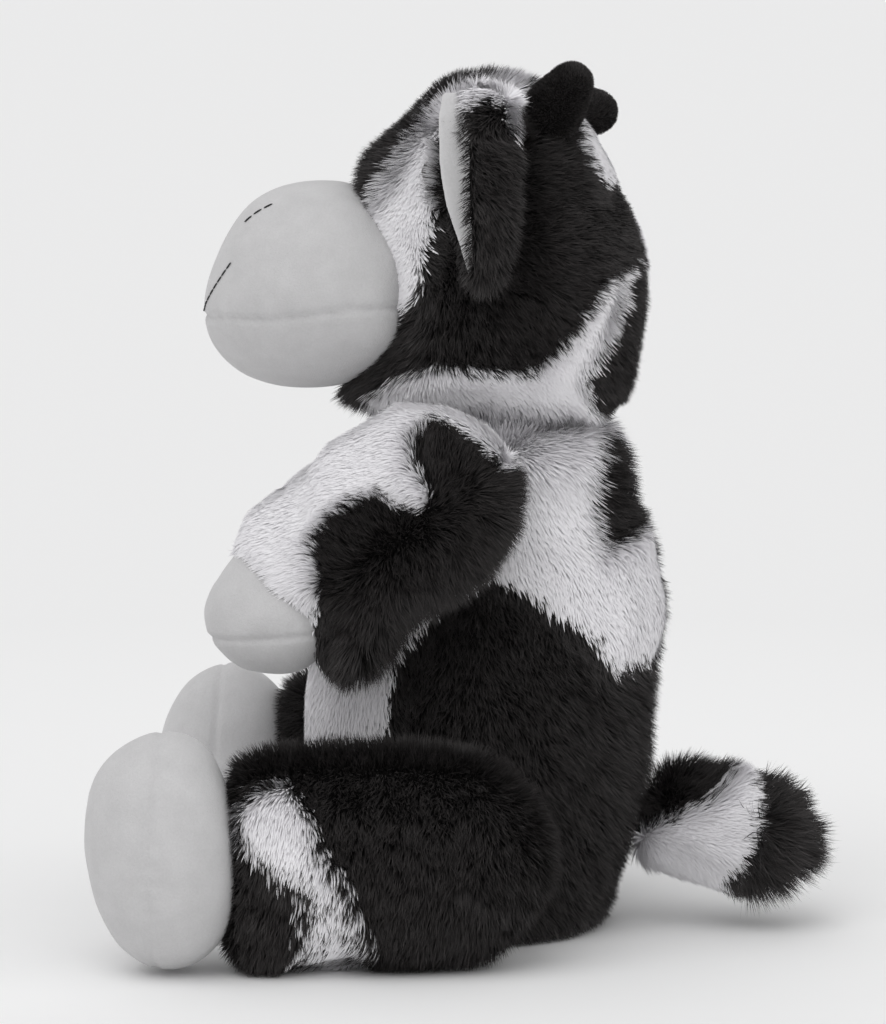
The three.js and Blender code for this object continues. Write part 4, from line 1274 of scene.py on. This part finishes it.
def sew_leg(name, side, foot):
    """The fur of a leg, behind its foot."""
    skin = hull_form(f"leg_skin_{name}", (f"leg_{name}",), voxel=2.0, rounds=18)
    p = places(skin)
    x, y, z = p.T
    z += 5 * ramp(side * x, 60, 90) * ramp(y, -60, -20) * fade(z, 0, 14)
    move_to(skin, p)
    dark = make_room(skin, "leg", share=ramp(z, 1, 16))
    p = places(skin)
    x, y, z = p.T
    covered = depth_in(p, foot)
    reach = (0.62 + 0.4 * fade(covered, -12, 0)) * (0.65 + 0.35 * dark)
    depth = lay_coat(skin, "leg", dark, (0.7 * side, -0.15, -1), 0.45, reach)
    # Black strands mix into its white patch, most of all low down
    mixed = 0.5 + 0.5 * fade(z, 20, 45)
    note(skin, "coat", depth * (1 - 0.72 * mixed) + 2.3 * mixed)
    clear = fade(covered, -0.8, 0.5) * ramp(z, 0.8, 4) * outside(p, form("torso_skin"))
    grow_pile(f"leg_pile_{name}", skin, f"leg_{name}", clear)
    skin_of(skin, f"leg_{name}", (f"leg_{name}", f"leg_stuffing_{name}"))


class COW_OT_legs(bpy.types.Operator):
    """Sew the legs and feet and grow the thighs' pile"""
    bl_idname = "cow.legs"
    bl_label = "Legs"

    def execute(self, context):
        for name, side in SIDES.items():
            nodes = (f"foot_upper_{name}", f"foot_sole_{name}")
            foot = sew_foot(name, side, nodes)
            sew_leg(name, side, foot)
            smooth_skin_of(foot, f"leg_{name}", nodes)
        return {"FINISHED"}


class COW_OT_tail(bpy.types.Operator):
    """Sew the tail and grow its pile and its tuft"""
    bl_idname = "cow.tail"
    bl_label = "Tail"

    def execute(self, context):
        skin = hull_form("tail_skin", ("tail",), voxel=1.4, rounds=12)
        p = places(skin)
        x, y, z = p.T
        low = fade(z, 24, 42)
        z += 5 * ramp(z, 46, 60) * fade(y, 64, 86)
        y -= 6 * low * fade(y, 76, 102)
        # Its underside runs straight from the seat to its end
        axis = 40
        spots = np.arange(52, 104, 4)
        lowest = np.array([z[np.abs(y - spot) < 3].min() for spot in spots])
        underside = 33 - 0.24 * spots
        gain = (axis - underside) / (axis - lowest)
        z += np.minimum(z - axis, 0) * (np.interp(y, spots, gain) - 1) * fade(y, 94, 104)
        move_to(skin, p)
        dark = make_room(skin, "tail")
        p = places(skin)
        x, y, z = p.T
        under = fade(z, 20, 34)
        end = ramp(y, 92, 104)
        way = blend(end, blend(under, (0, 1, -0.1), (0, 0.5, -1)), (0, 1, -0.3))
        reach = 0.6 + 0.5 * dark + 0.4 * under * fade(y, 75, 95) + 0.5 * end * dark
        lay_coat(skin, "tail", dark, way, 0.5 - 0.1 * end, reach)
        grow_pile("tail_pile", skin, "tail", outside(p, form("torso_skin")))
        skin_of(skin, "tail", ("tail", "tail_stuffing"))

        core = hull_form("tuft_skin", ("tail_tuft",), voxel=1.2, rounds=8)
        drawn_in(core, 5.5)
        p = places(core)
        x, y, z = p.T
        y -= 8
        z += 0.05 * (z - z.mean()) + 3
        move_to(core, p)
        lay_black(core, (0, 1, -0.35), 0.6, 0.75 + 0.5 * fade(z, 28, 46))
        grow_pile("tuft_pile", core, "tail", np.ones(len(p)), coat().tuft_length,
                  segments=4, clump=4.6 * MM, pull=0.95, wildness=0.3)
        skin_of(core, "tail", ("tail_tuft",))
        return {"FINISHED"}


class COW_OT_inside(bpy.types.Operator):
    """Fill the neck and clear the shapes that were copied"""
    bl_idname = "cow.inside"
    bl_label = "Filling"

    def execute(self, context):
        neck = hull_form("neck_filling", ("neck_stuffing",), voxel=1.5, rounds=10)
        skin_of(neck, "neck", ("neck_stuffing",),
                plush_material("polyester filling", 1.0, (0.75, 0.75, 0.74)))
        for name in ("strand of 2", "strand of 4", "one stitch"):
            shape = bpy.data.objects.get(name)
            if shape:
                bpy.data.objects.remove(shape)
        return {"FINISHED"}


PIECES = (
    COW_OT_stage, COW_OT_muzzle, COW_OT_eyes, COW_OT_torso, COW_OT_head, COW_OT_embroidery, COW_OT_ears,
    COW_OT_horns, COW_OT_arms, COW_OT_legs, COW_OT_tail, COW_OT_inside,
)


class COW_PT_plush(bpy.types.Panel):
    """Lists the cow's sizes, colours and pieces"""
    bl_idname = "COW_PT_plush"
    bl_label = "Plush Cow"
    bl_space_type = "VIEW_3D"
    bl_region_type = "UI"
    bl_category = "Plush Cow"

    def draw(self, context):
        for group in (context.scene.cow_coat, context.scene.cow_face, context.scene.cow_stage):
            frame_box = self.layout.box()
            for key in group.bl_rna.properties.keys():
                if key not in ("rna_type", "name"):
                    frame_box.prop(group, key)
        for piece in PIECES:
            self.layout.operator(piece.bl_idname)


CLASSES = (CoatSettings, FaceSettings, StageSettings, *PIECES, COW_PT_plush)


def register():
    for cls in CLASSES:
        bpy.utils.register_class(cls)
    bpy.types.Scene.cow_coat = bpy.props.PointerProperty(type=CoatSettings)
    bpy.types.Scene.cow_face = bpy.props.PointerProperty(type=FaceSettings)
    bpy.types.Scene.cow_stage = bpy.props.PointerProperty(type=StageSettings)


def unregister():
    del bpy.types.Scene.cow_stage
    del bpy.types.Scene.cow_face
    del bpy.types.Scene.cow_coat
    for cls in reversed(CLASSES):
        bpy.utils.unregister_class(cls)


def main():
    register()
    for piece in PIECES:
        getattr(bpy.ops.cow, piece.bl_idname.split(".")[1])()
    bpy.context.view_layer.update()


if __name__ == "__main__":
    main()
